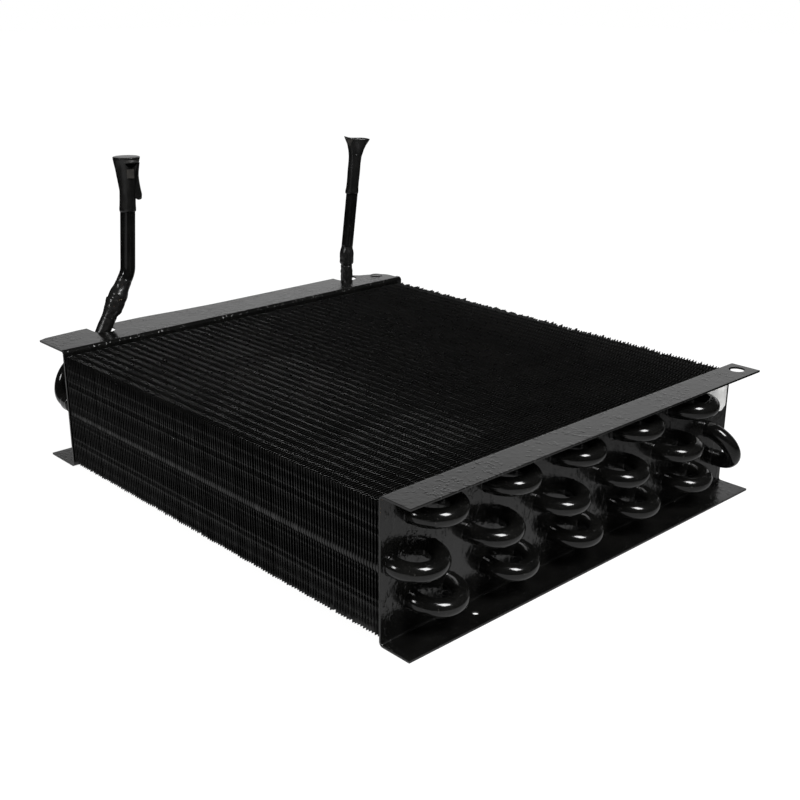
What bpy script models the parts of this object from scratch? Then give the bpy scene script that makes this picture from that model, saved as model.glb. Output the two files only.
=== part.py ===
"""Evaporator coil: a fin-and-tube block between two folded end plates.

Frame: metres, +Z up, +X along the tubes towards the hairpin end, the part
standing on its lower flanges.  The origin is the bottom centre of the
bounding box.  All the sizes below are in millimetres.
"""

import math

import bmesh
import bpy
from mathutils import Vector

MM = 0.001
COLLECTION = "evaporator_coil"

# Tubes: three staggered rows, the axes along X.
TUBE_RADIUS = 4.8
TUBE_PITCH = 25.4
ROW_PITCH = 22.0
TUBES_IN_ROW = {1: 10, 2: 11, 3: 11}
BORE_CLEARANCE = 0.3
FACE_GAP = 0.3
TUBE_SIDES = 8

# Hairpins (bent from one tube) and return bends (brazed on).
HAIRPIN_STANDOFF = 2.0
TUBE_STUB = 3.0
SOCKET_RADIUS = 6.0
SOCKET_LENGTH = 7.2
SOCKET_TAPER = 2.5
BEND_STEPS = 5
ELBOW_STEP_DEG = 30.0

# Fins: one pitch of fin for each tube and each row.
FIN_COUNT = 142
FIN_PITCH = 2.0
FIN_DEPTH_SHOWN = 4.5
COLLAR_COVER = 0.4

# End plates: folded sheet, a web and two flanges that face outwards.
SHEET = 1.2
PLATE_BELOW_FINS = 6.6
PLATE_ABOVE_FINS = 3.6
PLATE_PAST_FIRST_TUBE = 0.25
PLATE_PAST_LAST_TUBE = 0.85
FOLD_RADIUS = 1.6
FOLD_STEPS = 2
NEAR_FLANGE = 19.05
FAR_FLANGE = 29.3
FAR_FLANGE_BELOW = 27.2
FAR_FLANGE_SWELL = 4.0
FAR_LIP = 1.0
FAR_STEP_BACK = 6.0
FAR_END_INSET = 2.0
FAR_CORNER_RADIUS = 14.0
CUT_PAST = 2.0
SCREW_HOLE_RADIUS = 4.5
SCREW_HOLE_INSET = 8.5
PILOT_HOLE_RADIUS = 1.6
PILOT_HOLE_LOW = 87.0
PILOT_HOLE_HIGH = 93.0
FAR_HOLE_RADIUS = 4.0
FAR_HOLE_INSET = 11.0
FAR_HOLE_FROM_WEB = 15.2
SLOT_WIDTH = 16.4
SLOT_DEPTH = 16.5

# Where the far top flange changes shape, as shares of half its width.
SWELL_ENDS = (0.78, 0.5)
STEP_ENDS = (0.8, 0.83)

# Connection pipes, which rise from the far end.  The points along a pipe
# are given sideways from its tube, and upwards from the plates' top.
PIPE_STANDOFF = 24.5
ELBOW_RADIUS = 12.7
SUCTION_RADIUS = 4.7
SUCTION_KNEE_RISE = 19.4
SUCTION_COUPLING_RADIUS = 6.2
SUCTION_COUPLING_TAPER = 3.0
SUCTION_COUPLING_LOW_Y = 28.35
SUCTION_COUPLING_LOW_Z = 9.1
SUCTION_COUPLING_HIGH_Y = 39.25
SUCTION_COUPLING_HIGH_Z = 27.6
SUCTION_BEND_Y = 43.35
SUCTION_BEND_Z = 34.6
SUCTION_WRAP_Y = 46.55
SUCTION_WRAP_Z = 74.3
SUCTION_TOP_Y = 48.55
SUCTION_TOP_Z = 108.8
LIQUID_RADIUS = 4.0
LIQUID_COUPLING_RADIUS = 5.2
LIQUID_COUPLING_TAPER = 2.0
LIQUID_COUPLING_LOW_Z = 10.8
LIQUID_COUPLING_HIGH_Y = 0.65
LIQUID_COUPLING_HIGH_Z = 22.8
LIQUID_WRAP_Y = 5.95
LIQUID_WRAP_Z = 64.3
LIQUID_TOP_Y = 11.35
LIQUID_TOP_Z = 104.3
WRAP_COVER = 0.5
SUCTION_WRAP_WIDE = 8.6
SUCTION_WRAP_DEEP = 6.4
LIQUID_WRAP_WIDE = 9.4
LIQUID_WRAP_DEEP = 3.2
WRAP_TURN_DEG = 43.0
WRAP_RINGS = (0.0, 0.55, 0.78, 1.0)
WRAP_FLARE_FROM = 0.45
WRAP_FLARE_POWER = 1.6

# Paper label on the near plate.
LABEL_WIDTH = 23.0
LABEL_HEIGHT = 25.0
LABEL_THICKNESS = 0.3
LABEL_CORNER = 4.0
LABEL_INSET = 2.2
LABEL_DROP = 3.2

# Worked out from the sizes above.
FIN_LENGTH = max(TUBES_IN_ROW.values()) * TUBE_PITCH
FIN_HEIGHT = len(TUBES_IN_ROW) * ROW_PITCH
PLATE_HEIGHT = PLATE_BELOW_FINS + FIN_HEIGHT + PLATE_ABOVE_FINS
PLATE_WIDTH = PLATE_PAST_FIRST_TUBE + FIN_LENGTH + PLATE_PAST_LAST_TUBE
STACK_LENGTH = FIN_COUNT * FIN_PITCH
WEB_INSIDE = STACK_LENGTH / 2 + FACE_GAP
WEB_OUTSIDE = WEB_INSIDE + SHEET
BEND_REACH = TUBE_PITCH / 2 * math.cos(math.pi / 2 / BEND_STEPS * (BEND_STEPS % 2)) + TUBE_RADIUS
NEAR_REACH = WEB_OUTSIDE + max(NEAR_FLANGE, HAIRPIN_STANDOFF + BEND_REACH)
FAR_REACH = WEB_OUTSIDE + FAR_FLANGE + FAR_FLANGE_SWELL
X_SHIFT = (FAR_REACH - NEAR_REACH) / 2
FIN_Y_MIN = -PLATE_WIDTH / 2 + PLATE_PAST_FIRST_TUBE
FIN_Y_MAX = FIN_Y_MIN + FIN_LENGTH
FIN_Z_MIN = PLATE_BELOW_FINS
FIN_Z_MAX = FIN_Z_MIN + FIN_HEIGHT
SOCKET_START = WEB_OUTSIDE + TUBE_STUB + FACE_GAP
PIPE_X = -(WEB_OUTSIDE + PIPE_STANDOFF)


def at(x, y, z):
    """A point of the coil, in metres, from millimetres about the block's middle."""
    return Vector(((x + X_SHIFT) * MM, y * MM, z * MM))


def tube_axis(row, number):
    """(y, z) of a tube: rows 1 to 3 from the top, numbers from the -Y side."""
    stagger = 0.0 if row == 2 else TUBE_PITCH / 2
    y = FIN_Y_MIN + TUBE_PITCH / 4 + stagger + (number - 1) * TUBE_PITCH
    z = FIN_Z_MAX - (row - 0.5) * ROW_PITCH
    return (y, z)


def pairs_in_row(row, first):
    """Neighbouring tubes of one row, two by two, from the given tube on."""
    return [((row, n), (row, n + 1)) for n in range(first, TUBES_IN_ROW[row], 2)]


# The circuit: each row's tubes from the -Y side, row 1 one tube short.
LAST_IN_ROW_2 = (2, TUBES_IN_ROW[2])
LAST_IN_ROW_3 = (3, TUBES_IN_ROW[3])
HAIRPIN_ENDS = pairs_in_row(1, 1) + pairs_in_row(2, 1) + pairs_in_row(3, 1)
HAIRPIN_ENDS.append((LAST_IN_ROW_2, LAST_IN_ROW_3))
RETURN_ENDS = [((1, 1), (2, 1))]
RETURN_ENDS += pairs_in_row(1, 2) + pairs_in_row(2, 2) + pairs_in_row(3, 2)
SUCTION_TUBE = (3, 1)
LIQUID_TUBE = (1, TUBES_IN_ROW[1])
ALL_TUBES = [(row, n) for row in (1, 2, 3) for n in range(1, TUBES_IN_ROW[row] + 1)]


def start_scene():
    """Empty the scene and make the two collections."""
    for obj in list(bpy.data.objects):
        bpy.data.objects.remove(obj, do_unlink=True)
    parts = bpy.data.collections.new(COLLECTION)
    cutters = bpy.data.collections.new("cutters")
    bpy.context.scene.collection.children.link(parts)
    bpy.context.scene.collection.children.link(cutters)
    return parts, cutters


def paint(name, colour, roughness, metallic):
    """A plain Principled material."""
    mat = bpy.data.materials.new(name)
    mat.use_nodes = True
    shader = mat.node_tree.nodes["Principled BSDF"]
    shader.inputs["Base Color"].default_value = (*colour, 1.0)
    shader.inputs["Roughness"].default_value = roughness
    shader.inputs["Metallic"].default_value = metallic
    mat.diffuse_color = (*colour, 1.0)
    return mat


def place(obj, collection, material=None):
    """Link an object, and give it its material."""
    collection.objects.link(obj)
    if material is not None:
        obj.data.materials.append(material)
    return obj


def as_cutter(obj):
    """Mark an object as a cutter."""
    obj.hide_render = True
    obj.display_type = "WIRE"
    return obj


def curve_to_mesh(obj, collection):
    """Turn a curve object into a mesh object with its caps welded on."""
    bpy.context.view_layer.update()
    evaluated = obj.evaluated_get(bpy.context.evaluated_depsgraph_get())
    mesh = bpy.data.meshes.new_from_object(evaluated)
    bm = bmesh.new()
    bm.from_mesh(mesh)
    bmesh.ops.remove_doubles(bm, verts=bm.verts, dist=0.00001)
    bm.to_mesh(mesh)
    bm.free()
    solid = bpy.data.objects.new(obj.name, mesh)
    solid.matrix_world = obj.matrix_world
    name = obj.name
    bpy.data.objects.remove(obj, do_unlink=True)
    solid.name = name
    collection.objects.link(solid)
    return solid


def pipe(name, route, radius, collection, material, widths=None):
    """A round pipe along a route of points in metres, its ends capped."""
    curve = bpy.data.curves.new(name, "CURVE")
    curve.dimensions = "3D"
    curve.bevel_depth = radius * MM
    curve.bevel_resolution = (TUBE_SIDES - 4) // 2
    curve.render_resolution_u = 0
    curve.use_fill_caps = True
    spline = curve.splines.new("POLY")
    spline.points.add(len(route) - 1)
    for i, point in enumerate(route):
        spline.points[i].co = (*point, 1.0)
        spline.points[i].radius = widths[i] if widths else 1.0
    spline.use_smooth = True
    return place(bpy.data.objects.new(name, curve), collection, material)


def arc_between(first, second, x_start, side, steps):
    """Points of a half-circle bend that joins two tube axes, in metres."""
    middle = ((first[0] + second[0]) / 2, (first[1] + second[1]) / 2)
    half = ((second[0] - first[0]) / 2, (second[1] - first[1]) / 2)
    radius = math.hypot(*half)
    points = []
    for i in range(steps + 1):
        turn = math.pi * (i / steps - 0.5)
        x = side * (x_start + radius * math.cos(turn))
        y = middle[0] + half[0] * math.sin(turn)
        z = middle[1] + half[1] * math.sin(turn)
        points.append(at(x, y, z))
    return points


def rounded_route(corners, radius):
    """A route through corner points in metres, its corners turned to arcs."""
    route = [corners[0]]
    for before, corner, after in zip(corners, corners[1:], corners[2:]):
        back = (before - corner).normalized()
        ahead = (after - corner).normalized()
        turn = math.pi - back.angle(ahead)
        reach = radius * MM * math.tan(turn / 2)
        centre = corner + (back + ahead).normalized() * (radius * MM / math.cos(turn / 2))
        start = corner + back * reach - centre
        end = corner + ahead * reach - centre
        steps = max(1, round(math.degrees(turn) / ELBOW_STEP_DEG))
        for i in range(steps + 1):
            mix = i / steps
            near = math.sin((1 - mix) * turn) / math.sin(turn)
            far = math.sin(mix * turn) / math.sin(turn)
            route.append(centre + start * near + end * far)
    route.append(corners[-1])
    return route


def make_hairpins(collection, material):
    """Full-length U tubes, bent at the near end and open at the far end."""
    far_end = -(WEB_OUTSIDE + TUBE_STUB)
    for index, (first, second) in enumerate(HAIRPIN_ENDS, start=1):
        a = tube_axis(*first)
        b = tube_axis(*second)
        bend = arc_between(a, b, WEB_OUTSIDE + HAIRPIN_STANDOFF, 1, BEND_STEPS)
        route = [at(far_end, *a)] + bend + [at(far_end, *b)]
        pipe(f"hairpin_{index:02d}", route, TUBE_RADIUS, collection, material)


def make_return_bends(collection, material):
    """Brazed U bends with belled sockets, at the far end."""
    bell = SOCKET_RADIUS / TUBE_RADIUS
    bell_end = SOCKET_START + SOCKET_LENGTH
    bend_start = bell_end + SOCKET_TAPER
    for index, (first, second) in enumerate(RETURN_ENDS, start=1):
        a = tube_axis(*first)
        b = tube_axis(*second)
        bend = arc_between(a, b, bend_start, -1, BEND_STEPS)
        route = [at(-SOCKET_START, *a), at(-bell_end, *a)] + bend
        route += [at(-bell_end, *b), at(-SOCKET_START, *b)]
        widths = [bell, bell] + [1.0] * len(bend) + [bell, bell]
        pipe(f"return_bend_{index:02d}", route, TUBE_RADIUS, collection, material, widths)


def bore_cutters(name, tubes, sides, reach, collection):
    """One cutter object with a prism along X for each tube."""
    radius = (TUBE_RADIUS + BORE_CLEARANCE) / math.cos(math.pi / sides)
    bm = bmesh.new()
    for tube in tubes:
        made = bmesh.ops.create_cone(bm, cap_ends=True, segments=sides, radius1=radius * MM,
                                     radius2=radius * MM, depth=2 * reach * MM)
        y, z = tube_axis(*tube)
        for vert in made["verts"]:
            vert.co = at(vert.co.z / MM, y + vert.co.y / MM, z - vert.co.x / MM)
    mesh = bpy.data.meshes.new(name)
    bm.to_mesh(mesh)
    bm.free()
    return as_cutter(place(bpy.data.objects.new(name, mesh), collection))


def cut(obj, cutter):
    """Subtract one object from another, kept as a modifier."""
    step = obj.modifiers.new(cutter.name, "BOOLEAN")
    step.operation = "DIFFERENCE"
    step.solver = "EXACT"
    step.object = cutter


def fin_outline():
    """The fin's own outline, as (y, z) corners."""
    return [(FIN_Y_MIN, FIN_Z_MIN), (FIN_Y_MAX, FIN_Z_MIN), (FIN_Y_MAX, FIN_Z_MAX), (FIN_Y_MIN, FIN_Z_MAX)]


def collar_outline():
    """Where the collars close the gap between fins, as (y, z) corners.

    It lies one shown depth inside the fin's outline, and it comes out to
    cover the two tubes that run close behind the fins' narrow edges.
    """
    low = FIN_Z_MIN + FIN_DEPTH_SHOWN
    high = FIN_Z_MAX - FIN_DEPTH_SHOWN
    left = FIN_Y_MIN + FIN_DEPTH_SHOWN
    right = FIN_Y_MAX - FIN_DEPTH_SHOWN
    first_z = tube_axis(2, 1)[1]
    last_z = tube_axis(*LAST_IN_ROW_3)[1]
    spread = 2 * TUBE_RADIUS
    return [
        (left, low),
        (FIN_Y_MAX - COLLAR_COVER, low),
        (FIN_Y_MAX - COLLAR_COVER, last_z),
        (right, last_z + spread),
        (right, high),
        (left, high),
        (left, first_z + spread),
        (FIN_Y_MIN + COLLAR_COVER, first_z),
        (left, first_z - spread),
    ]


def band(bm, edge, root, matches):
    """Faces between a fin's edge ring and a collar ring, given matching corners."""
    faces = []
    count = len(root)
    for i in range(len(edge)):
        j = (i + 1) % len(edge)
        start = matches[i]
        stop = matches[j] if matches[j] > start else matches[j] + count
        chain = [root[k % count] for k in range(start, stop + 1)]
        split = (len(chain) - 1) // 2
        for k in range(len(chain) - 1):
            corner = edge[i] if k < split or len(chain) == 2 else edge[j]
            faces.append(bm.faces.new((corner, chain[k], chain[k + 1])))
        pivot = chain[split] if len(chain) > 2 else chain[1]
        faces.append(bm.faces.new((edge[i], pivot, edge[j])))
    return faces


def make_fin_pack(collection, cutters, material):
    """The stack of fins: one ridge for each fin, with a bore for each tube."""
    outline = fin_outline()
    collar = collar_outline()
    matches = [0, 1, 4, 5]
    bm = bmesh.new()
    previous = None
    for step in range(FIN_COUNT + 1):
        x_root = -STACK_LENGTH / 2 + step * FIN_PITCH
        root = [bm.verts.new(at(x_root, y, z)) for y, z in collar]
        if previous is not None:
            x_fin = x_root - FIN_PITCH / 2
            fin = [bm.verts.new(at(x_fin, y, z)) for y, z in outline]
            band(bm, fin, previous, matches)
            band(bm, fin, root, matches)
        if step in (0, FIN_COUNT):
            bm.faces.new(root)
        previous = root
    bmesh.ops.recalc_face_normals(bm, faces=bm.faces)
    mesh = bpy.data.meshes.new("fin_pack")
    bm.to_mesh(mesh)
    bm.free()
    pack = place(bpy.data.objects.new("fin_pack", mesh), collection, material)
    edge_tubes = [(2, 1), LAST_IN_ROW_3]
    inner_tubes = [tube for tube in ALL_TUBES if tube not in edge_tubes]
    cut(pack, bore_cutters("pack_bores_inner", inner_tubes, 6, STACK_LENGTH, cutters))
    cut(pack, bore_cutters("pack_bores_edge", edge_tubes, TUBE_SIDES, STACK_LENGTH, cutters))
    return pack


def folded_sheet(name, side, top_flange, low_flange, collection, material):
    """A web with two flanges, as an open surface given its thickness."""
    mid = SHEET / 2
    web = WEB_OUTSIDE - mid
    path = [(WEB_OUTSIDE + top_flange, PLATE_HEIGHT - mid)]
    for i in range(FOLD_STEPS + 1):
        turn = math.pi / 2 * i / FOLD_STEPS
        x = web + FOLD_RADIUS * (1 - math.sin(turn))
        z = PLATE_HEIGHT - mid - FOLD_RADIUS * (1 - math.cos(turn))
        path.append((x, z))
    path += [(x, PLATE_HEIGHT - z) for x, z in reversed(path[1:])]
    path.append((WEB_OUTSIDE + low_flange, mid))
    bm = bmesh.new()
    half = PLATE_WIDTH / 2
    near = [bm.verts.new(at(side * x, -half, z)) for x, z in path]
    edges = [bm.edges.new(pair) for pair in zip(near, near[1:])]
    swept = bmesh.ops.extrude_edge_only(bm, edges=edges)
    moved = [item for item in swept["geom"] if isinstance(item, bmesh.types.BMVert)]
    bmesh.ops.translate(bm, verts=moved, vec=(0, PLATE_WIDTH * MM, 0))
    bmesh.ops.recalc_face_normals(bm, faces=bm.faces)
    mesh = bpy.data.meshes.new(name)
    bm.to_mesh(mesh)
    bm.free()
    obj = place(bpy.data.objects.new(name, mesh), collection, material)
    thick = obj.modifiers.new("sheet", "SOLIDIFY")
    thick.thickness = SHEET * MM
    thick.offset = 0.0
    thick.use_even_offset = True
    return obj


def prism(name, outline, z, height, collection):
    """An upright cutter over a flat outline of (x, y) points."""
    curve = bpy.data.curves.new(name, "CURVE")
    curve.dimensions = "2D"
    curve.fill_mode = "BOTH"
    curve.extrude = height / 2 * MM
    spline = curve.splines.new("POLY")
    spline.points.add(len(outline) - 1)
    for i, (x, y) in enumerate(outline):
        spline.points[i].co = (*at(x, y, 0).xy, 0.0, 1.0)
    spline.use_cyclic_u = True
    obj = bpy.data.objects.new(name, curve)
    obj.location = (0, 0, z * MM)
    bpy.context.scene.collection.objects.link(obj)
    return as_cutter(curve_to_mesh(obj, collection))


def post(name, x, y, z, radius, sides, collection):
    """An upright round cutter."""
    bpy.ops.mesh.primitive_cylinder_add(vertices=sides, radius=radius * MM, depth=4 * SHEET * MM,
                                        location=at(x, y, z))
    obj = bpy.context.active_object
    obj.name = name
    for owner in list(obj.users_collection):
        owner.objects.unlink(obj)
    collection.objects.link(obj)
    return as_cutter(obj)


def arc(centre, radius, start, stop, steps):
    """Points on an arc, the angles in degrees."""
    points = []
    for i in range(steps + 1):
        angle = math.radians(start + (stop - start) * i / steps)
        points.append((centre[0] + radius * math.cos(angle), centre[1] + radius * math.sin(angle)))
    return points


def slot_outline(y):
    """A round-bottomed slot, open to the far flange's outer edge."""
    radius = SLOT_WIDTH / 2
    bottom = -(WEB_OUTSIDE + SLOT_DEPTH)
    outside = -(WEB_OUTSIDE + FAR_FLANGE + 2 * FAR_FLANGE_SWELL)
    return [(outside, y + radius), (outside, y - radius)] + arc((bottom - radius, y), radius, -90, 90, 5)


def far_edge_trim():
    """What is cut off the far top flange: a slightly bowed edge and a round corner."""
    half = PLATE_WIDTH / 2
    outside = -(WEB_OUTSIDE + FAR_FLANGE + 2 * FAR_FLANGE_SWELL)
    straight = -(WEB_OUTSIDE + FAR_FLANGE)
    bowed = straight - FAR_FLANGE_SWELL
    end = half - FAR_END_INSET
    round_at = straight + FAR_STEP_BACK
    corner = arc((round_at + FAR_CORNER_RADIUS, end - FAR_CORNER_RADIUS), FAR_CORNER_RADIUS, 180, 90, 5)
    edge = [
        (straight + FAR_LIP, -half - CUT_PAST),
        (straight + FAR_LIP, -half),
        (bowed, -half * SWELL_ENDS[0]),
        (bowed, -half * SWELL_ENDS[1]),
        (straight, 0.0),
        (straight, half * STEP_ENDS[0]),
        (round_at, half * STEP_ENDS[1]),
    ]
    edge += corner
    edge += [(-WEB_OUTSIDE - FOLD_RADIUS, end), (-WEB_OUTSIDE - FOLD_RADIUS, half + CUT_PAST)]
    edge += [(outside, half + CUT_PAST), (outside, -half - CUT_PAST)]
    return edge


def make_near_plate(collection, cutters, material):
    """The hairpin-end plate."""
    plate = folded_sheet("end_plate_near", 1, NEAR_FLANGE, NEAR_FLANGE, collection, material)
    cut(plate, bore_cutters("near_bores", ALL_TUBES, TUBE_SIDES, WEB_OUTSIDE + SHEET, cutters))
    x = WEB_OUTSIDE + NEAR_FLANGE / 2
    y = PLATE_WIDTH / 2 - SCREW_HOLE_INSET
    cut(plate, post("near_screw_hole", x, y, PLATE_HEIGHT, SCREW_HOLE_RADIUS, 10, cutters))
    for index, hole_y in enumerate((-PILOT_HOLE_LOW, PILOT_HOLE_HIGH), start=1):
        cut(plate, post(f"near_pilot_{index}", x, hole_y, 0, PILOT_HOLE_RADIUS, 6, cutters))
    return plate


def make_far_plate(collection, cutters, material):
    """The connection-end plate, its top flange slotted for the two pipes."""
    wide = FAR_FLANGE + FAR_FLANGE_SWELL
    plate = folded_sheet("end_plate_far", -1, wide, FAR_FLANGE_BELOW, collection, material)
    cut(plate, bore_cutters("far_bores", ALL_TUBES, 6, WEB_OUTSIDE + SHEET, cutters))
    deep = 4 * SHEET
    cut(plate, prism("far_edge_trim", far_edge_trim(), PLATE_HEIGHT, deep, cutters))
    suction_y = suction_at(PLATE_HEIGHT)
    liquid_y = tube_axis(*LIQUID_TUBE)[0]
    cut(plate, prism("suction_slot", slot_outline(suction_y), PLATE_HEIGHT, deep, cutters))
    cut(plate, prism("liquid_slot", slot_outline(liquid_y), PLATE_HEIGHT, deep, cutters))
    x = -(WEB_OUTSIDE + FAR_HOLE_FROM_WEB)
    y = PLATE_WIDTH / 2 - FAR_HOLE_INSET
    cut(plate, post("far_screw_hole", x, y, PLATE_HEIGHT, FAR_HOLE_RADIUS, 10, cutters))
    return plate


def over_tube(tube, sideways, above):
    """(y, z) of a point beside a tube's axis and above the plates' top."""
    return (tube_axis(*tube)[0] + sideways, PLATE_HEIGHT + above)


def suction_knee():
    """(y, z) where the suction pipe starts to lean."""
    y, z = tube_axis(*SUCTION_TUBE)
    return (y, z + SUCTION_KNEE_RISE)


def suction_at(z):
    """y of the suction pipe's slanted stretch at a height."""
    y0, z0 = suction_knee()
    y1, z1 = over_tube(SUCTION_TUBE, SUCTION_BEND_Y, SUCTION_BEND_Z)
    return y0 + (y1 - y0) * (z - z0) / (z1 - z0)


def wrap_loft(name, start, top, radius, top_axes, collection, material):
    """An end wrap: round where it grips the pipe, flared to an oval at its top."""
    sides = TUBE_SIDES
    base = Vector((PIPE_X, *start))
    tip = Vector((PIPE_X, *top))
    turn = math.radians(WRAP_TURN_DEG)
    bm = bmesh.new()
    rings = []
    for share in WRAP_RINGS:
        flare = max(0.0, (share - WRAP_FLARE_FROM) / (1 - WRAP_FLARE_FROM)) ** WRAP_FLARE_POWER
        wide = radius + (top_axes[0] - radius) * flare
        deep = radius + (top_axes[1] - radius) * flare
        centre = base.lerp(tip, share)
        ring = []
        for k in range(sides):
            angle = 2 * math.pi * k / sides
            u = wide * math.cos(angle)
            v = deep * math.sin(angle)
            x = centre.x + u * math.cos(turn) - v * math.sin(turn)
            y = centre.y + u * math.sin(turn) + v * math.cos(turn)
            ring.append(bm.verts.new(at(x, y, centre.z)))
        rings.append(ring)
    for low, high in zip(rings, rings[1:]):
        for k in range(sides):
            m = (k + 1) % sides
            bm.faces.new((low[k], low[m], high[m], high[k]))
    bm.faces.new(rings[0])
    bm.faces.new(rings[-1])
    bmesh.ops.recalc_face_normals(bm, faces=bm.faces)
    mesh = bpy.data.meshes.new(name)
    bm.to_mesh(mesh)
    bm.free()
    return place(bpy.data.objects.new(name, mesh), collection, material)


def coupling_route(start, end, taper):
    """Four points along a coupling, its ends drawn in over one taper each."""
    along = (end - start).normalized() * MM
    return [start + along * FACE_GAP, start + along * taper, end - along * taper, end - along * FACE_GAP]


def make_suction_line(collection, copper, wrap):
    """The larger pipe: elbow, coupling, bend and wrapped end."""
    y, z = tube_axis(*SUCTION_TUBE)
    start = at(-SOCKET_START, y, z)
    corner = at(PIPE_X, y, z)
    knee = at(PIPE_X, *suction_knee())
    joint = at(PIPE_X, *over_tube(SUCTION_TUBE, SUCTION_COUPLING_LOW_Y, SUCTION_COUPLING_LOW_Z))
    route = rounded_route([start, corner, knee, joint], ELBOW_RADIUS)
    bell = SOCKET_RADIUS / SUCTION_RADIUS
    pipe("suction_stub", route, SUCTION_RADIUS, collection, copper, [bell] + [1.0] * (len(route) - 1))
    far = at(PIPE_X, *over_tube(SUCTION_TUBE, SUCTION_COUPLING_HIGH_Y, SUCTION_COUPLING_HIGH_Z))
    body = coupling_route(joint, far, SUCTION_COUPLING_TAPER)
    narrow = SUCTION_RADIUS / SUCTION_COUPLING_RADIUS
    pipe("suction_coupling", body, SUCTION_COUPLING_RADIUS, collection, copper, [narrow, 1.0, 1.0, narrow])
    bend = at(PIPE_X, *over_tube(SUCTION_TUBE, SUCTION_BEND_Y, SUCTION_BEND_Z))
    grip = over_tube(SUCTION_TUBE, SUCTION_WRAP_Y, SUCTION_WRAP_Z)
    route = rounded_route([far, bend, at(PIPE_X, *grip)], ELBOW_RADIUS)
    pipe("suction_pipe", route, SUCTION_RADIUS, collection, copper)
    start = (grip[0], grip[1] + 2 * FACE_GAP)
    tip = over_tube(SUCTION_TUBE, SUCTION_TOP_Y, SUCTION_TOP_Z)
    axes = (SUCTION_WRAP_WIDE, SUCTION_WRAP_DEEP)
    wrap_loft("suction_end_wrap", start, tip, SUCTION_RADIUS + WRAP_COVER, axes, collection, wrap)


def make_liquid_line(collection, copper, wrap):
    """The smaller pipe: elbow, coupling and wrapped end."""
    y, z = tube_axis(*LIQUID_TUBE)
    start = at(-SOCKET_START, y, z)
    corner = at(PIPE_X, y, z)
    joint = at(PIPE_X, *over_tube(LIQUID_TUBE, 0.0, LIQUID_COUPLING_LOW_Z))
    route = rounded_route([start, corner, joint], ELBOW_RADIUS)
    bell = SOCKET_RADIUS / LIQUID_RADIUS
    pipe("liquid_stub", route, LIQUID_RADIUS, collection, copper, [bell] + [1.0] * (len(route) - 1))
    far = at(PIPE_X, *over_tube(LIQUID_TUBE, LIQUID_COUPLING_HIGH_Y, LIQUID_COUPLING_HIGH_Z))
    body = coupling_route(joint, far, LIQUID_COUPLING_TAPER)
    narrow = LIQUID_RADIUS / LIQUID_COUPLING_RADIUS
    pipe("liquid_coupling", body, LIQUID_COUPLING_RADIUS, collection, copper, [narrow, 1.0, 1.0, narrow])
    grip = over_tube(LIQUID_TUBE, LIQUID_WRAP_Y, LIQUID_WRAP_Z)
    pipe("liquid_pipe", [far, at(PIPE_X, *grip)], LIQUID_RADIUS, collection, copper)
    start = (grip[0], grip[1] + 2 * FACE_GAP)
    tip = over_tube(LIQUID_TUBE, LIQUID_TOP_Y, LIQUID_TOP_Z)
    axes = (LIQUID_WRAP_WIDE, LIQUID_WRAP_DEEP)
    wrap_loft("liquid_end_wrap", start, tip, LIQUID_RADIUS + WRAP_COVER, axes, collection, wrap)


def make_label(collection, material):
    """A blank paper label with one rounded corner, on the near plate."""
    right = PLATE_WIDTH / 2 - LABEL_INSET
    left = right - LABEL_WIDTH
    high = PLATE_HEIGHT - LABEL_DROP
    low = high - LABEL_HEIGHT
    centre = (right - LABEL_CORNER, low + LABEL_CORNER)
    outline = [(left, low)] + arc(centre, LABEL_CORNER, -90, 0, 3) + [(right, high), (left, high)]
    bm = bmesh.new()
    x = WEB_OUTSIDE + FACE_GAP
    face = bm.faces.new([bm.verts.new(at(x, y, z)) for y, z in outline])
    raised = bmesh.ops.extrude_face_region(bm, geom=[face])
    moved = [item for item in raised["geom"] if isinstance(item, bmesh.types.BMVert)]
    bmesh.ops.translate(bm, verts=moved, vec=(LABEL_THICKNESS * MM, 0, 0))
    bmesh.ops.recalc_face_normals(bm, faces=bm.faces)
    mesh = bpy.data.meshes.new("blank_label")
    bm.to_mesh(mesh)
    bm.free()
    return place(bpy.data.objects.new("blank_label", mesh), collection, material)


def build():
    """Make the whole coil."""
    parts, cutters = start_scene()
    gloss = paint("gloss_black_paint", (0.02, 0.02, 0.021), 0.18, 0.0)
    fins = paint("painted_fins", (0.03, 0.031, 0.033), 0.5, 0.2)
    tubes = paint("painted_tube", (0.012, 0.012, 0.013), 0.12, 0.0)
    wrap = paint("painted_wrap", (0.05, 0.052, 0.055), 0.45, 0.0)
    paper = paint("label_paper", (0.82, 0.82, 0.8), 0.7, 0.0)
    make_fin_pack(parts, cutters, fins)
    make_near_plate(parts, cutters, gloss)
    make_far_plate(parts, cutters, gloss)
    make_hairpins(parts, tubes)
    make_return_bends(parts, tubes)
    make_suction_line(parts, tubes, wrap)
    make_liquid_line(parts, tubes, wrap)
    make_label(parts, paper)


build()
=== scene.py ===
"""Looks of the evaporator coil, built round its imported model.

Sizes are in millimetres about the middle of the fin block, and at() turns
them into the model's frame, in metres.
"""

import math

import bmesh
import bpy
import numpy as np
from mathutils import Matrix, Vector, noise

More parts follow.
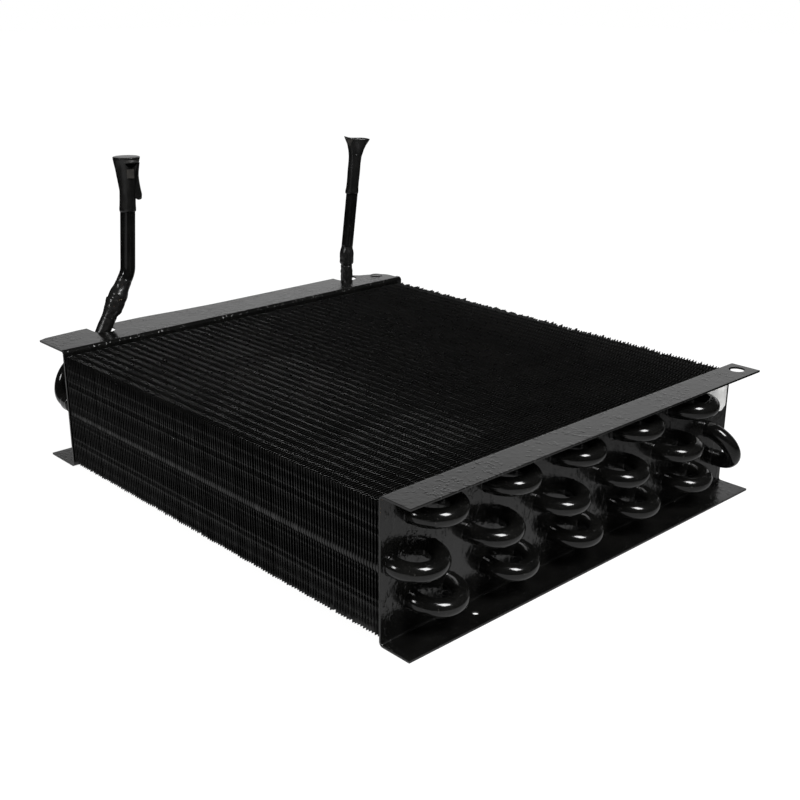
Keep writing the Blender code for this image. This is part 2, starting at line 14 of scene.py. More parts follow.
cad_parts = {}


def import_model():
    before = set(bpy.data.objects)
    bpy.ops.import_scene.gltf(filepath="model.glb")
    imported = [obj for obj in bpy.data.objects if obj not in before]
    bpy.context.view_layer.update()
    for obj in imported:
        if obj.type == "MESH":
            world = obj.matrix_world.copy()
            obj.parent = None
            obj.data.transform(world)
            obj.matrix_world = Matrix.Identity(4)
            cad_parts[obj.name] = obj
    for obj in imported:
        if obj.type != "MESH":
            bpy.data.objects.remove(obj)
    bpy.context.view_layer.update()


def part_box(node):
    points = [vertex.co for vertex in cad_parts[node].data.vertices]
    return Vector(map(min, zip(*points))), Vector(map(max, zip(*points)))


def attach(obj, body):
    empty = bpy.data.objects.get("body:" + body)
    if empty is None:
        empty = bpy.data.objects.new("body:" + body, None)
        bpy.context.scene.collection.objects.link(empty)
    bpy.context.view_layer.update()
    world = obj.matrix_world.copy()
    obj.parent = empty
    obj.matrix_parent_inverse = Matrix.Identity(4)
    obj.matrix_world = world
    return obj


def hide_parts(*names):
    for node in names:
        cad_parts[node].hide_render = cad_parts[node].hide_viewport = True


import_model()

MM = 0.001
UP = Vector((0, 0, 1))
RANDOM = np.random.default_rng(11)

# The solids' places, and the sizes that the dressing shares with them.
PACK_LOW, PACK_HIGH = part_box("fin_pack")
X_SHIFT = (PACK_LOW.x + PACK_HIGH.x) / 2 / MM
FIN_COUNT = 142
FIN_PITCH = 2.0
FIN_Y_MIN = PACK_LOW.y / MM
FIN_Y_MAX = PACK_HIGH.y / MM
FIN_Z_MIN = PACK_LOW.z / MM
FIN_Z_MAX = PACK_HIGH.z / MM
FIN_Z_MIDDLE = (FIN_Z_MIN + FIN_Z_MAX) / 2
TUBE_RADIUS = 4.8
TUBE_PITCH = 25.4
ROW_PITCH = 22.0
TUBES_IN_ROW = {1: 10, 2: 11, 3: 11}
SHEET = 1.2
FOLD_RADIUS = 1.8
WEB_OUTSIDE = 143.5
PLATE_HEIGHT = 76.2
PLATE_HALF = 140.25
NEAR_FLANGE = 19.05
# The far upper flange reaches this far where it swells.
FAR_FLANGE = 33.3
FAR_FLANGE_BELOW = 27.2
SOCKET_START = 146.8
SOCKET_LENGTH = 7.2
SOCKET_TAPER = 2.5
SOCKET_RADIUS = 6.0
PIPE_X = -168.0
ELBOW_RADIUS = 12.7
SUCTION_RADIUS = 4.7
LIQUID_RADIUS = 4.25
LABEL_WIDTH = 23.0
LABEL_HEIGHT = 25.0
LABEL_CORNER = 4.0
LABEL_INSET = 2.2
LABEL_DROP = 3.2
LABEL_THICKNESS = 0.14

# Camera, as solved from the photograph.
CAMERA_AT = (0.49728, -0.45434, 0.28912)
CAMERA_AZIMUTH = 46.799
CAMERA_ELEVATION = 19.791
CAMERA_ROLL = 0.291
CAMERA_LENS = 52.649


def at(x, y, z):
    """A point of the coil in metres."""
    return Vector(((x + X_SHIFT) * MM, y * MM, z * MM))


def direction(azimuth, elevation):
    """Unit vector from the coil towards an azimuth and elevation in degrees."""
    a = math.radians(azimuth)
    e = math.radians(elevation)
    return Vector((math.sin(a) * math.cos(e), -math.cos(a) * math.cos(e), math.sin(e)))


def smooth_step(low, high, value):
    """0 below low, 1 above high, and a smooth rise between; takes arrays."""
    t = np.clip((np.asarray(value, float) - low) / (high - low), 0.0, 1.0)
    return t * t * (3 - 2 * t)


def turns(sides):
    """Angles of even steps once round."""
    return [2 * math.pi * k / sides for k in range(sides)]


def tube_axis(row, number):
    """(y, z) of a tube: rows 1 to 3 from the top, numbers from the -Y side."""
    stagger = 0.0 if row == 2 else TUBE_PITCH / 2
    y = FIN_Y_MIN + TUBE_PITCH / 4 + stagger + (number - 1) * TUBE_PITCH
    return (y, FIN_Z_MAX - (row - 0.5) * ROW_PITCH)


def pairs_in_row(row, first):
    """Neighbouring tubes of one row, two by two."""
    return [((row, n), (row, n + 1)) for n in range(first, TUBES_IN_ROW[row], 2)]


HAIRPINS = pairs_in_row(1, 1) + pairs_in_row(2, 1) + pairs_in_row(3, 1) + [((2, 11), (3, 11))]
RETURNS = [((1, 1), (2, 1))] + pairs_in_row(1, 2) + pairs_in_row(2, 2) + pairs_in_row(3, 2)
ALL_TUBES = [(row, n) for row in (1, 2, 3) for n in range(1, TUBES_IN_ROW[row] + 1)]


# Shader nodes.

def connect(node, inputs):
    """Set a node's inputs, each by a plain value or by a link from another node's output."""
    for key, value in inputs.items():
        if isinstance(value, bpy.types.NodeSocket):
            node.id_data.links.new(value, node.inputs[key])
        else:
            node.inputs[key].default_value = value


def add_node(tree, kind, inputs):
    """A new node with its inputs set."""
    node = tree.nodes.new(kind)
    connect(node, inputs)
    return node


def calculate(tree, operation, *values):
    """The result of a math node."""
    node = add_node(tree, "ShaderNodeMath", dict(enumerate(values)))
    node.operation = operation
    return node.outputs["Value"]


def product(tree, values, scale):
    """The values multiplied together, and by a number."""
    last = scale
    for value in values:
        last = calculate(tree, "MULTIPLY", value, last)
    return last


def noise_node(tree, scale, detail, stretch=(1.0, 1.0, 1.0)):
    """Noise in object space, stretched along the axes."""
    coords = add_node(tree, "ShaderNodeTexCoord", {})
    mapping = add_node(tree, "ShaderNodeMapping", {"Scale": stretch, "Vector": coords.outputs["Object"]})
    inputs = {"Scale": scale, "Detail": detail, "Vector": mapping.outputs["Vector"]}
    return add_node(tree, "ShaderNodeTexNoise", inputs).outputs["Fac"]


def mottled(tree, scale, detail, low, high, stretch=(1.0, 1.0, 1.0)):
    """Noise through a ramp between two stops, each a position and a grey or rgb colour."""
    ramp = add_node(tree, "ShaderNodeValToRGB", {"Fac": noise_node(tree, scale, detail, stretch)})
    for element, (position, colour) in zip(ramp.color_ramp.elements, (low, high)):
        rgb = colour if isinstance(colour, tuple) else (colour, colour, colour)
        element.position = position
        element.color = (*rgb, 1.0)
    return ramp.outputs["Color"]


# Materials.

PAINT_IOR = 1.5


def new_material(name):
    """A node material and its node tree."""
    mat = bpy.data.materials.new(name)
    mat.use_nodes = True
    return mat, mat.node_tree


def finish_paint(tree, colour, roughness, bumps, ior=PAINT_IOR, metallic=0.0):
    """Join a colour, a roughness and bumps, each a height and its size in mm, to the shader."""
    shader = tree.nodes["Principled BSDF"]
    connect(shader, {"Base Color": colour, "Roughness": roughness, "IOR": ior, "Metallic": metallic})
    below = {}
    for height, distance in bumps:
        inputs = {"Height": height, "Distance": distance * MM, "Strength": 1.0, **below}
        below = {"Normal": add_node(tree, "ShaderNodeBump", inputs).outputs["Normal"]}
    connect(shader, below)


def plate_paint():
    """Gloss black paint on sheet: orange peel, sags, crinkles in patches, and dull close to the floor."""
    mat, tree = new_material("gloss_black_sheet")
    colour = mottled(tree, 60.0, 3.0, (0.35, (0.0030, 0.0030, 0.0029)), (0.7, (0.0058, 0.0057, 0.0053)))
    gloss = mottled(tree, 120.0, 2.0, (0.3, 0.09), (0.75, 0.15))
    place = add_node(tree, "ShaderNodeTexCoord", {}).outputs["Object"]
    height = add_node(tree, "ShaderNodeSeparateXYZ", {"Vector": place}).outputs["Z"]
    limits = {"From Min": 1.5 * MM, "From Max": 6.0 * MM, "To Min": 0.12, "To Max": 0.0}
    dull = add_node(tree, "ShaderNodeMapRange", {"Value": height, **limits}).outputs["Result"]
    peel = noise_node(tree, 330.0, 2.0)
    sags = noise_node(tree, 130.0, 2.0, (1.0, 1.0, 0.5))
    wrinkles = mottled(tree, 420.0, 2.0, (0.54, 0.0), (0.64, 1.0), (1.0, 1.0, 0.45))
    patches = mottled(tree, 48.0, 2.0, (0.42, 0.15), (0.54, 1.0))
    crinkles = product(tree, [wrinkles, patches], 1.0)
    bumps = [(sags, 0.09), (peel, 0.075), (crinkles, 0.15)]
    finish_paint(tree, colour, calculate(tree, "ADD", gloss, dull), bumps)
    return mat


def tube_paint(name, roughness):
    """Deep gloss black on copper tube, with faint unevenness and dust in patches."""
    mat, tree = new_material(name)
    colour = mottled(tree, 90.0, 3.0, (0.4, (0.0034, 0.0034, 0.0032)), (0.75, (0.0062, 0.0061, 0.0057)))
    grains = mottled(tree, 1000.0, 1.0, (0.66, 0.0), (0.74, 1.0))
    patches = mottled(tree, 75.0, 2.0, (0.45, 0.0), (0.62, 1.0))
    amount = product(tree, [grains, patches], 0.8)
    dust = {"Fac": amount, "Color1": colour, "Color2": (0.034, 0.033, 0.031, 1.0)}
    dusted = add_node(tree, "ShaderNodeMixRGB", dust).outputs["Color"]
    bumps = [(noise_node(tree, 110.0, 2.0), 0.09), (noise_node(tree, 700.0, 1.0), 0.01)]
    finish_paint(tree, dusted, roughness, bumps)
    return mat


def braze_paint():
    """Paint over lumpy brazing: gloss, with bare flecks."""
    mat, tree = new_material("gloss_black_braze")
    colour = mottled(tree, 420.0, 2.0, (0.73, (0.009, 0.009, 0.0085)), (0.80, (0.09, 0.06, 0.04)))
    finish_paint(tree, colour, 0.27, [(noise_node(tree, 95.0, 2.0), 0.34)])
    return mat


def fin_paint():
    """Thin satin black over aluminium fins."""
    mat, tree = new_material("satin_black_fins")
    colour = mottled(tree, 45.0, 4.0, (0.35, (0.0022, 0.0022, 0.0021)), (0.75, (0.0042, 0.0041, 0.0038)))
    gloss = mottled(tree, 260.0, 2.0, (0.3, 0.26), (0.75, 0.35))
    finish_paint(tree, colour, gloss, [(noise_node(tree, 900.0, 2.0), 0.03)])
    return mat


def wrap_paint():
    """Black paint over wrapped tape: satin, with creases round the pipe."""
    mat, tree = new_material("satin_black_wrap")
    colour = mottled(tree, 130.0, 3.0, (0.35, (0.0050, 0.0050, 0.0048)), (0.75, (0.0100, 0.0098, 0.0092)))
    creases = noise_node(tree, 120.0, 2.0, (1.0, 1.0, 0.3))
    finish_paint(tree, colour, 0.27, [(creases, 0.35), (noise_node(tree, 600.0, 2.0), 0.03)])
    return mat


def plain_finish(name, dark, light, scale, roughness, metallic=0.0, ior=1.45):
    """A mottled finish between two colours."""
    mat, tree = new_material(name)
    colour = mottled(tree, scale, 4.0, (0.35, dark), (0.7, light))
    finish_paint(tree, colour, roughness, [(noise_node(tree, scale * 3, 2.0), 0.04)], ior, metallic)
    return mat


SHEET_PAINT = plate_paint()
TUBE_PAINT = tube_paint("gloss_black_tube", 0.13)
DULL_TUBE_PAINT = tube_paint("satin_black_tube", 0.34)
PIPE_PAINT = tube_paint("gloss_black_pipe", 0.13)
BRAZE_PAINT = braze_paint()
FIN_PAINT = fin_paint()
WRAP_PAINT = wrap_paint()
LABEL_PAPER = plain_finish("label_paper", (0.70, 0.70, 0.68), (0.80, 0.80, 0.79), 300.0, 0.6)
TAPE_INSIDE = plain_finish("tape_inside", (0.016, 0.0145, 0.0125), (0.036, 0.032, 0.027), 260.0, 0.6)
# Near black with hardly any reflection: painted shade in the mouth of the wrap's fold.
PAINTED_SHADE_BLACK = plain_finish("painted_shade_black", (0.0006,) * 3, (0.0014, 0.0014, 0.0013), 300.0, 0.75, ior=1.01)
# Paler and duller than the wrap's paint: a painted sheen that makes the fold's lip a light arc.
WRAP_LIP_PAINTED_SHEEN = plain_finish("wrap_lip_painted_sheen", (0.016, 0.016, 0.015), (0.030, 0.029, 0.027), 240.0, 0.45)
BARE_ALUMINIUM = plain_finish("bare_aluminium", (0.45, 0.45, 0.44), (0.75, 0.75, 0.74), 900.0, 0.35, 1.0)
BARE_COPPER = plain_finish("bare_copper", (0.17, 0.13, 0.09), (0.34, 0.27, 0.19), 900.0, 0.5)
RUST_FLECK = plain_finish("rust_fleck", (0.16, 0.095, 0.05), (0.32, 0.21, 0.12), 900.0, 0.7)


# Mesh helpers.

def finish_piece(obj, replaced=()):
    """Let a piece ride on the part and the solids it stands for."""
    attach(obj, "root")
    if replaced:
        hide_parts(*replaced)


def add_object(name, data):
    """An object for a mesh, lamp or camera, linked to the scene."""
    obj = bpy.data.objects.new(name, data)
    bpy.context.scene.collection.objects.link(obj)
    return obj


def mesh_piece(name, mesh, material, smooth=True):
    """An object for a mesh, given its material."""
    mesh.materials.append(material)
    if smooth:
        mesh.shade_smooth()
    return add_object(name, mesh)


def plain_mesh(name, points, faces):
    """A mesh over points in mm."""
    mesh = bpy.data.meshes.new(name)
    mesh.from_pydata([at(*p) for p in points], [], faces)
    mesh.update()
    return mesh


def array_piece(name, points, quads, material):
    """A smooth mesh object from an array of points in mm and an array of quads."""
    mesh = bpy.data.meshes.new(name)
    co = np.array(points, np.float32)
    co[:, 0] += X_SHIFT
    co *= MM
    mesh.vertices.add(len(co))
    mesh.vertices.foreach_set("co", co.ravel())
    count = len(quads)
    mesh.loops.add(count * 4)
    mesh.loops.foreach_set("vertex_index", np.asarray(quads, np.int32).ravel())
    mesh.polygons.add(count)
    mesh.polygons.foreach_set("loop_start", np.arange(0, count * 4, 4, dtype=np.int32))
    mesh.update(calc_edges=True)
    mesh.validate()
    return mesh_piece(name, mesh, material)


def bmesh_object(name, bm):
    """An object made of a bmesh, which is freed."""
    bmesh.ops.recalc_face_normals(bm, faces=bm.faces)
    mesh = bpy.data.meshes.new(name)
    bm.to_mesh(mesh)
    bm.free()
    return add_object(name, mesh)


def slide(bm, made, step):
    """Move the points that an extrusion made, by a step in metres."""
    moved = [item for item in made["geom"] if isinstance(item, bmesh.types.BMVert)]
    bmesh.ops.translate(bm, verts=moved, vec=step)


def evaluated_piece(obj, name, material):
    """A plain mesh object from one with modifiers; the first is removed."""
    bpy.context.view_layer.update()
    graph = bpy.context.evaluated_depsgraph_get()
    mesh = bpy.data.meshes.new_from_object(obj.evaluated_get(graph))
    bpy.data.objects.remove(obj, do_unlink=True)
    mesh.materials.clear()
    mesh.name = name
    return mesh_piece(name, mesh, material, smooth=False)


def ring_quads(rings, sides, base=0):
    """Quads between rings of points that follow each other."""
    quads = []
    for low in range(base, base + (rings - 1) * sides, sides):
        for k in range(sides):
            m = (k + 1) % sides
            quads.append((low + k, low + m, low + sides + m, low + sides + k))
    return quads


def caps(rings, sides):
    """Faces over the first and the last of some rings."""
    last = (rings - 1) * sides
    return [tuple(reversed(range(sides))), tuple(range(last, last + sides))]


def tube_piece(name, path, radii, sides, material, wobble=None):
    """A closed tube along a path in mm; wobble adds to its radius at a point."""
    path = [Vector(p) for p in path]
    last = len(path) - 1
    tangents = [(path[min(i + 1, last)] - path[max(i - 1, 0)]).normalized() for i in range(len(path))]
    first = UP if abs(tangents[0].z) < 0.9 else Vector((1, 0, 0))
    normal = (first - tangents[0] * first.dot(tangents[0])).normalized()
    points = []
    for i, (centre, tangent, radius) in enumerate(zip(path, tangents, radii)):
        normal = (normal - tangent * normal.dot(tangent)).normalized()
        other = tangent.cross(normal)
        for angle in turns(sides):
            out = normal * math.cos(angle) + other * math.sin(angle)
            more = wobble(centre + out * radius, i) if wobble else 0.0
            points.append(centre + out * (radius + more))
    mesh = plain_mesh(name, points, ring_quads(len(path), sides) + caps(len(path), sides))
    obj = mesh_piece(name, mesh, material)
    mesh.polygons[-1].use_smooth = False
    mesh.polygons[-2].use_smooth = False
    return obj


def loft(name, rings, material, closed=True):
    """A skin over closed rings of points in mm."""
    sides = len(rings[0])
    faces = ring_quads(len(rings), sides) + (caps(len(rings), sides) if closed else [])
    mesh = plain_mesh(name, [p for ring in rings for p in ring], faces)
    bm = bmesh.new()
    bm.from_mesh(mesh)
    bmesh.ops.recalc_face_normals(bm, faces=bm.faces)
    bm.to_mesh(mesh)
    bm.free()
    return mesh_piece(name, mesh, material)


def thin_patch(name, rows, columns, point, thickness, material):
    """A thin sheet over a grid of points in mm; point takes the shares up and across."""
    points = [point(i / rows, k / columns) for i in range(rows + 1) for k in range(columns + 1)]
    step = columns + 1
    corners = [i * step + k for i in range(rows) for k in range(columns)]
    faces = [(low, low + 1, low + step + 1, low + step) for low in corners]
    obj = add_object(name, plain_mesh(name, points, faces))
    thick = obj.modifiers.new("sheet", "SOLIDIFY")
    thick.thickness = thickness * MM
    thick.offset = 0.0
    piece = evaluated_piece(obj, name, material)
    piece.data.shade_smooth()
    piece.data.set_sharp_from_angle(angle=math.radians(50))
    return piece


def arc(centre, radius, start, stop, steps):
    """Points on an arc, the angles in degrees."""
    points = []
    for i in range(steps + 1):
        angle = math.radians(start + (stop - start) * i / steps)
        points.append((centre[0] + radius * math.cos(angle), centre[1] + radius * math.sin(angle)))
    return points


def profile_at(profile, s):
    """Size at a length or height, from (length, size) stops."""
    return float(np.interp(s, [p[0] for p in profile], [p[1] for p in profile]))


def bend_points(first, second, x_start, side, steps, jitter):
    """A half-circle between two tube axes, in mm."""
    middle = ((first[0] + second[0]) / 2, (first[1] + second[1]) / 2)
    half = ((second[0] - first[0]) / 2, (second[1] - first[1]) / 2)
    radius = math.hypot(*half)
    points = []
    for i in range(steps + 1):
        turn = math.pi * (i / steps - 0.5)
        out = math.cos(turn)
        points.append((
            side * (x_start + radius * out),
            middle[0] + half[0] * math.sin(turn) + jitter[0] * out,
            middle[1] + half[1] * math.sin(turn) + jitter[1] * out,
        ))
    return points


def rounded_route(corners, radius, step_deg=8.0):
    """A route in mm through corner points, its corners turned to arcs."""
    corners = [Vector(c) for c in corners]
    route = [corners[0]]
    for before, corner, after in zip(corners, corners[1:], corners[2:]):
        back = (before - corner).normalized()
        ahead = (after - corner).normalized()
        turn = math.pi - back.angle(ahead)
        reach = radius * math.tan(turn / 2)
        centre = corner + (back + ahead).normalized() * (radius / math.cos(turn / 2))
        start = corner + back * reach - centre
        end = corner + ahead * reach - centre
        steps = max(2, round(math.degrees(turn) / step_deg))
        for i in range(steps + 1):
            mix = i / steps
            near = math.sin((1 - mix) * turn) / math.sin(turn)
            far = math.sin(mix * turn) / math.sin(turn)
            route.append(centre + start * near + end * far)
    route.append(corners[-1])
    return route


def resample(route, spacing):
    """Points at an even spacing along a route."""
    lengths = [0.0]
    for a, b in zip(route, route[1:]):
        lengths.append(lengths[-1] + (b - a).length)
    count = max(2, round(lengths[-1] / spacing) + 1)
    points = []
    j = 0
    for i in range(count):
        s = lengths[-1] * i / (count - 1)
        while j < len(route) - 2 and lengths[j + 1] < s:
            j += 1
        span = lengths[j + 1] - lengths[j]
        points.append(route[j].lerp(route[j + 1], (s - lengths[j]) / span if span else 0.0))
    return points


# Fins.

FIN_BUNDLES = 6
TOP_STEPS = 264
BOTTOM_STEPS = 176
SHEET_ROWS = 37
# Ripples along the top and bottom edges; their phase drifts along the coil.
RIPPLE_PITCH = TUBE_PITCH / 4
RIPPLE_PHASE = 0.135
RIPPLE_DRIFT = -0.00283
RIPPLE_DEPTH = 4.0
RIPPLE_HEIGHT = 0.34
# Fins that lean alike ripple more, as far as these distances from the -Y edge.
GLINT_HEIGHT = 0.27
GLINT_FADE = (84.0, 112.0)
PLAIN_STRENGTH = 0.10
# Stretches of such fins, as (from, to, strength) in mm from the far plate.
GLINT_GROUPS = [
    (4, 13, 0.8), (48, 72, 1.0), (85, 111, 1.0), (112, 129, 0.9), (129, 172, 0.7), (172, 200, 0.45),
    (211, 228, 0.9), (229, 262, 1.0),
]
# Waves down the sheets.
WAVE_PITCH = ROW_PITCH / 2
WAVE_HEIGHT = 0.40
# The rolled edges.
BEAD = 0.165
BEAD_DEPTH = 0.18
# Lines pressed along the -Y edges: (mm from the middle height, wider by, half height), in mm.
PRESSED_LINES = [
    (26.1, 0.36, 0.65), (20.9, 0.24, 1.00), (19.1, 0.52, 0.45), (14.9, 0.50, 0.45), (13.1, 0.20, 0.90),
    (7.2, 0.12, 0.70), (4.2, 0.34, 0.60), (2.3, 0.10, 0.70), (-4.7, 0.30, 0.38), (-7.9, 0.34, 0.50),
    (-11.2, 0.12, 0.65), (-18.5, 0.47, 0.55), (-22.3, 0.41, 0.60), (-24.0, 0.14, 0.90), (-29.8, 0.15, 0.75),
]
# The lines climb a little along the coil, in mm a mm.
LINE_CLIMB = 0.0083
# The fins reach a little lower than the tubes' pattern, by this much in the middle.
FIN_SKIRT = 3.2
SKIRT_CLIMB = 0.004


def fin_pieces():
    """The fins in bundles: thin sheets with a beaded top edge and beaded upright edges."""
    knots = np.linspace(FIN_Y_MIN, FIN_Y_MAX, 9)
    smooth = np.array([1.0, 4.0, 6.0, 4.0, 1.0]) / 16
    walk = RANDOM.normal(0.0, 1.0, (FIN_COUNT + 4, len(knots)))
    walk = np.array([np.convolve(walk[:, k], smooth, "valid") for k in range(len(knots))]).T
    single = RANDOM.normal(0.0, 1.0, (FIN_COUNT, 6))
    for bundle in range(FIN_BUNDLES):
        points = []
        quads = []
        total = 0
        for i in range(FIN_COUNT):
            if i * FIN_BUNDLES // FIN_COUNT != bundle:
                continue
            fin_points, fin_quads = one_fin(i, knots, walk[i], single[i])
            points.append(fin_points)
            quads.append(fin_quads + total)
            total += len(fin_points)
        piece = array_piece(f"fins_{bundle + 1}", np.concatenate(points), np.concatenate(quads), FIN_PAINT)
        finish_piece(piece, ["fin_pack"] if bundle == 0 else ())


def pressed(heights, climb):
    """How much wider an upright edge is at heights in mm."""
    wider = np.zeros(len(heights))
    for middle, wide, half in PRESSED_LINES:
        wider += wide * np.exp(-0.5 * ((heights - climb - FIN_Z_MIDDLE - middle) / half) ** 2)
    return wider


def edge_heights(low, high, count, climb):
    """Heights for the rows of an upright edge, closer together at the pressed lines."""
    z = np.linspace(low, high, 2000)
    dense = np.ones(len(z))
    for middle, _, half in PRESSED_LINES:
        dense += 2.0 * np.exp(-((z - climb - FIN_Z_MIDDLE - middle) / (1.6 * half)) ** 2)
    total = np.concatenate([[0.0], np.cumsum(dense[1:])])
    return np.interp(np.linspace(0.0, total[-1], count), total, z)


def one_fin(index, knots, walk, single):
    """Points and quads of one fin."""
    x_middle = -(FIN_COUNT - 1) * FIN_PITCH / 2 + index * FIN_PITCH
    strength = PLAIN_STRENGTH
    for start, stop, value in GLINT_GROUPS:
        if start <= x_middle + WEB_OUTSIDE <= stop:
            strength = value
    y_low = FIN_Y_MIN + 0.25 + 0.12 * abs(single[0])
    y_high = FIN_Y_MAX - 0.3 - 0.6 * abs(single[1])
    z_low = FIN_Z_MIN - FIN_SKIRT + SKIRT_CLIMB * x_middle + 0.20 * single[2]
    z_high = FIN_Z_MAX - 0.1 + 0.04 * single[3]

    def place(y, z, side=0.0):
        """x of the sheet at y and z; side is the bead's face."""
        tall = (z - (z_low + z_high) / 2) / ((z_high - z_low) / 2)
        lean = 0.05 * np.interp(y, knots, walk) * tall + 0.02 * single[4] * tall
        inward = smooth_step(0.0, 7.0, y - y_low)
        wave = inward * WAVE_HEIGHT * np.cos(2 * math.pi * (z - FIN_Z_MIN) / WAVE_PITCH)
        near_edge = np.maximum(smooth_step(z_high - RIPPLE_DEPTH, z_high, z),
                               1 - smooth_step(z_low, z_low + RIPPLE_DEPTH, z))
        wave = wave * (1 - 0.8 * near_edge)
        fade = 1 - smooth_step(*GLINT_FADE, y - FIN_Y_MIN)
        height = RIPPLE_HEIGHT + GLINT_HEIGHT * strength * fade
        phase = RIPPLE_PHASE + RIPPLE_DRIFT * x_middle
        ripple = height * near_edge * np.sin(2 * math.pi * ((y - FIN_Y_MIN) / RIPPLE_PITCH + phase))
        return x_middle + lean + wave + ripple + side

    points = []
    quads = []

    def grid(xs, ys, zs):
        """Add a grid of points, and its quads; rows by columns."""
        rows, columns = ys.shape
        base = sum(len(p) for p in points)
        points.append(np.stack([xs, ys, zs], axis=-1).reshape(-1, 3))
        numbers = base + np.arange(rows * columns).reshape(rows, columns)
        corners = [numbers[:-1, :-1], numbers[:-1, 1:], numbers[1:, 1:], numbers[1:, :-1]]
        quads.append(np.stack(corners, axis=-1).reshape(-1, 4))

    # Top edge: down one face, over the ridge, and down the other.
    y = y_low + (y_high - y_low) * np.linspace(0.0, 1.0, TOP_STEPS + 1)
    droop = 0.5 * smooth_step(y_high - 7.0, y_high, y) * single[5]
    levels = [(-4.0, 0.0), (-0.45, 0.04), (-BEAD_DEPTH, BEAD), (0.0, 0.0), (-BEAD_DEPTH, -BEAD), (-1.5, 0.0)]
    zs = np.array([z_high + level + droop * (level > -3.0) for level, _ in levels])
    ys = np.array([y for _ in levels])
    grid(np.array([place(ys[k], zs[k], side) for k, (_, side) in enumerate(levels)]), ys, zs)

    # The sheet between the edges.
    inner = np.linspace(y_low + 1.5, y_high - 1.5, len(knots))
    ys, zs = np.meshgrid(inner, np.linspace(z_low + 4.0, z_high - 4.0, SHEET_ROWS))
    grid(place(ys, zs), ys, zs)

    # Bottom edge.
    y = y_low + (y_high - y_low) * np.linspace(0.0, 1.0, BOTTOM_STEPS + 1)
    ys, zs = np.meshgrid(y, np.array([z_low, z_low + 4.0]))
    grid(place(ys, zs), ys, zs)

    # The two upright edges, beaded too.
    climb = LINE_CLIMB * x_middle
    offsets = [(1.5, 0.0), (0.45, 0.25), (BEAD_DEPTH, 1.0), (0.0, 0.0), (BEAD_DEPTH, -1.0), (1.5, 0.0)]
    for edge, inward, count, ragged in ((y_low, 1.0, 131, 0.03), (y_high, -1.0, 45, 0.10)):
        heights = edge_heights(z_low, z_high - 0.3, count, climb)
        rag = ragged * np.abs(np.sin(heights * 0.9 + single[5] * 9))
        ys = np.array([edge + inward * (depth + rag) for depth, _ in offsets])
        zs = np.array([heights for _ in offsets])
        bead = BEAD * (1.0 + 0.22 * single[2]) + pressed(heights, climb) * (inward > 0)
        grid(np.array([place(ys[k], zs[k], side * bead) for k, (_, side) in enumerate(offsets)]), ys, zs)
    return np.concatenate(points), np.concatenate(quads)


# The collars reach the fins' edges beside them, and there they sit a little low and climb.
COLLAR_RADIUS = 5.3
COLLAR_SIDES = 40
EDGE_COLLAR_RADIUS = 5.75
EDGE_COLLAR_DROP = 2.15
EDGE_COLLAR_DIP = 0.14
COLLAR_CLIMB = 0.0095


def collars():
    """The fins' collars, nested in each other along every tube."""
    plain = [(-WEB_OUTSIDE + 1.3, 0.0), (WEB_OUTSIDE - 1.3, 0.0)]
    # Beside an edge there's a ring for every quarter of the pitch, with a dip at each fin.
    ribbed = [(-FIN_COUNT + 1 + 0.5 * k, 0.0 if k % 4 else EDGE_COLLAR_DIP) for k in range(4 * FIN_COUNT - 3)]
    for row in (1, 2, 3):
        points = []
        quads = []
        for number in range(1, TUBES_IN_ROW[row] + 1):
            y, z = tube_axis(row, number)
            edge_tube = y - COLLAR_RADIUS < FIN_Y_MIN + 3.0
            radius = EDGE_COLLAR_RADIUS if edge_tube else COLLAR_RADIUS
            stations = ribbed if edge_tube else plain
            quads += ring_quads(len(stations), COLLAR_SIDES, len(points))
            for x, dip in stations:
                low = EDGE_COLLAR_DROP - COLLAR_CLIMB * x if edge_tube else 0.0
                r = radius - dip
                for angle in turns(COLLAR_SIDES):
                    points.append((x, y + r * math.cos(angle), z - low + r * math.sin(angle)))
        finish_piece(array_piece(f"collars_{row}", points, quads, FIN_PAINT))


# Plates.

# Start, stop and steps of the arcs that make whole rounds.
ROUND = (0, 352, 44)
FAR_ROUND = (0, 350, 35)
SMALL_ROUND = (0, 337, 15)
# Middles and radii of the holes.
NEAR_MIDDLE = WEB_OUTSIDE + NEAR_FLANGE / 2
NEAR_HOLE = (NEAR_MIDDLE - 0.6, 131.75)
NEAR_HOLE_RADIUS = 4.5
PILOT_HOLES = [(NEAR_MIDDLE, -87.0), (NEAR_MIDDLE, 93.0)]
PILOT_RADIUS = 1.6
FAR_HOLE = (-158.7, 129.25)
FAR_HOLE_RADIUS = 4.0
# The slots' bottoms, and y and half width of each.
SLOT_END = -160.0
SUCTION_SLOT_Y = -98.3
SUCTION_SLOT_HALF = 7.2
LIQUID_SLOT_Y = 106.6
LIQUID_SLOT_HALF = 8.2
# The far upper flange's outer edge, from the -Y end to its rounded corner.
FAR_EDGE = [
    (-172.6, -PLATE_HALF - 3), (-172.6, -PLATE_HALF), (-174.9, -135.0), (-176.2, -118.0), (-176.8, -112.0),
    (-176.8, -84.0), (-176.8, -66.0), (-176.2, -57.0), (-174.5, -39.0), (-173.0, -10.0), (-172.8, 60.0),
    (-172.8, 113.0), (-171.4, 116.0), (-167.6, 119.5), (-164.2, 127.0),
]
FAR_CORNER = (-152.0, 127.6)
FAR_CORNER_RADIUS = 10.6
CUT_PAST = 3


def prism(name, outline, low, high):
    """A cutter over a flat outline of (x, y) points, between two heights."""
    bm = bmesh.new()
    face = bm.faces.new([bm.verts.new(at(x, y, low)) for x, y in outline])
    slide(bm, bmesh.ops.extrude_face_region(bm, geom=[face]), (0, 0, (high - low) * MM))
    return bmesh_object(name, bm)


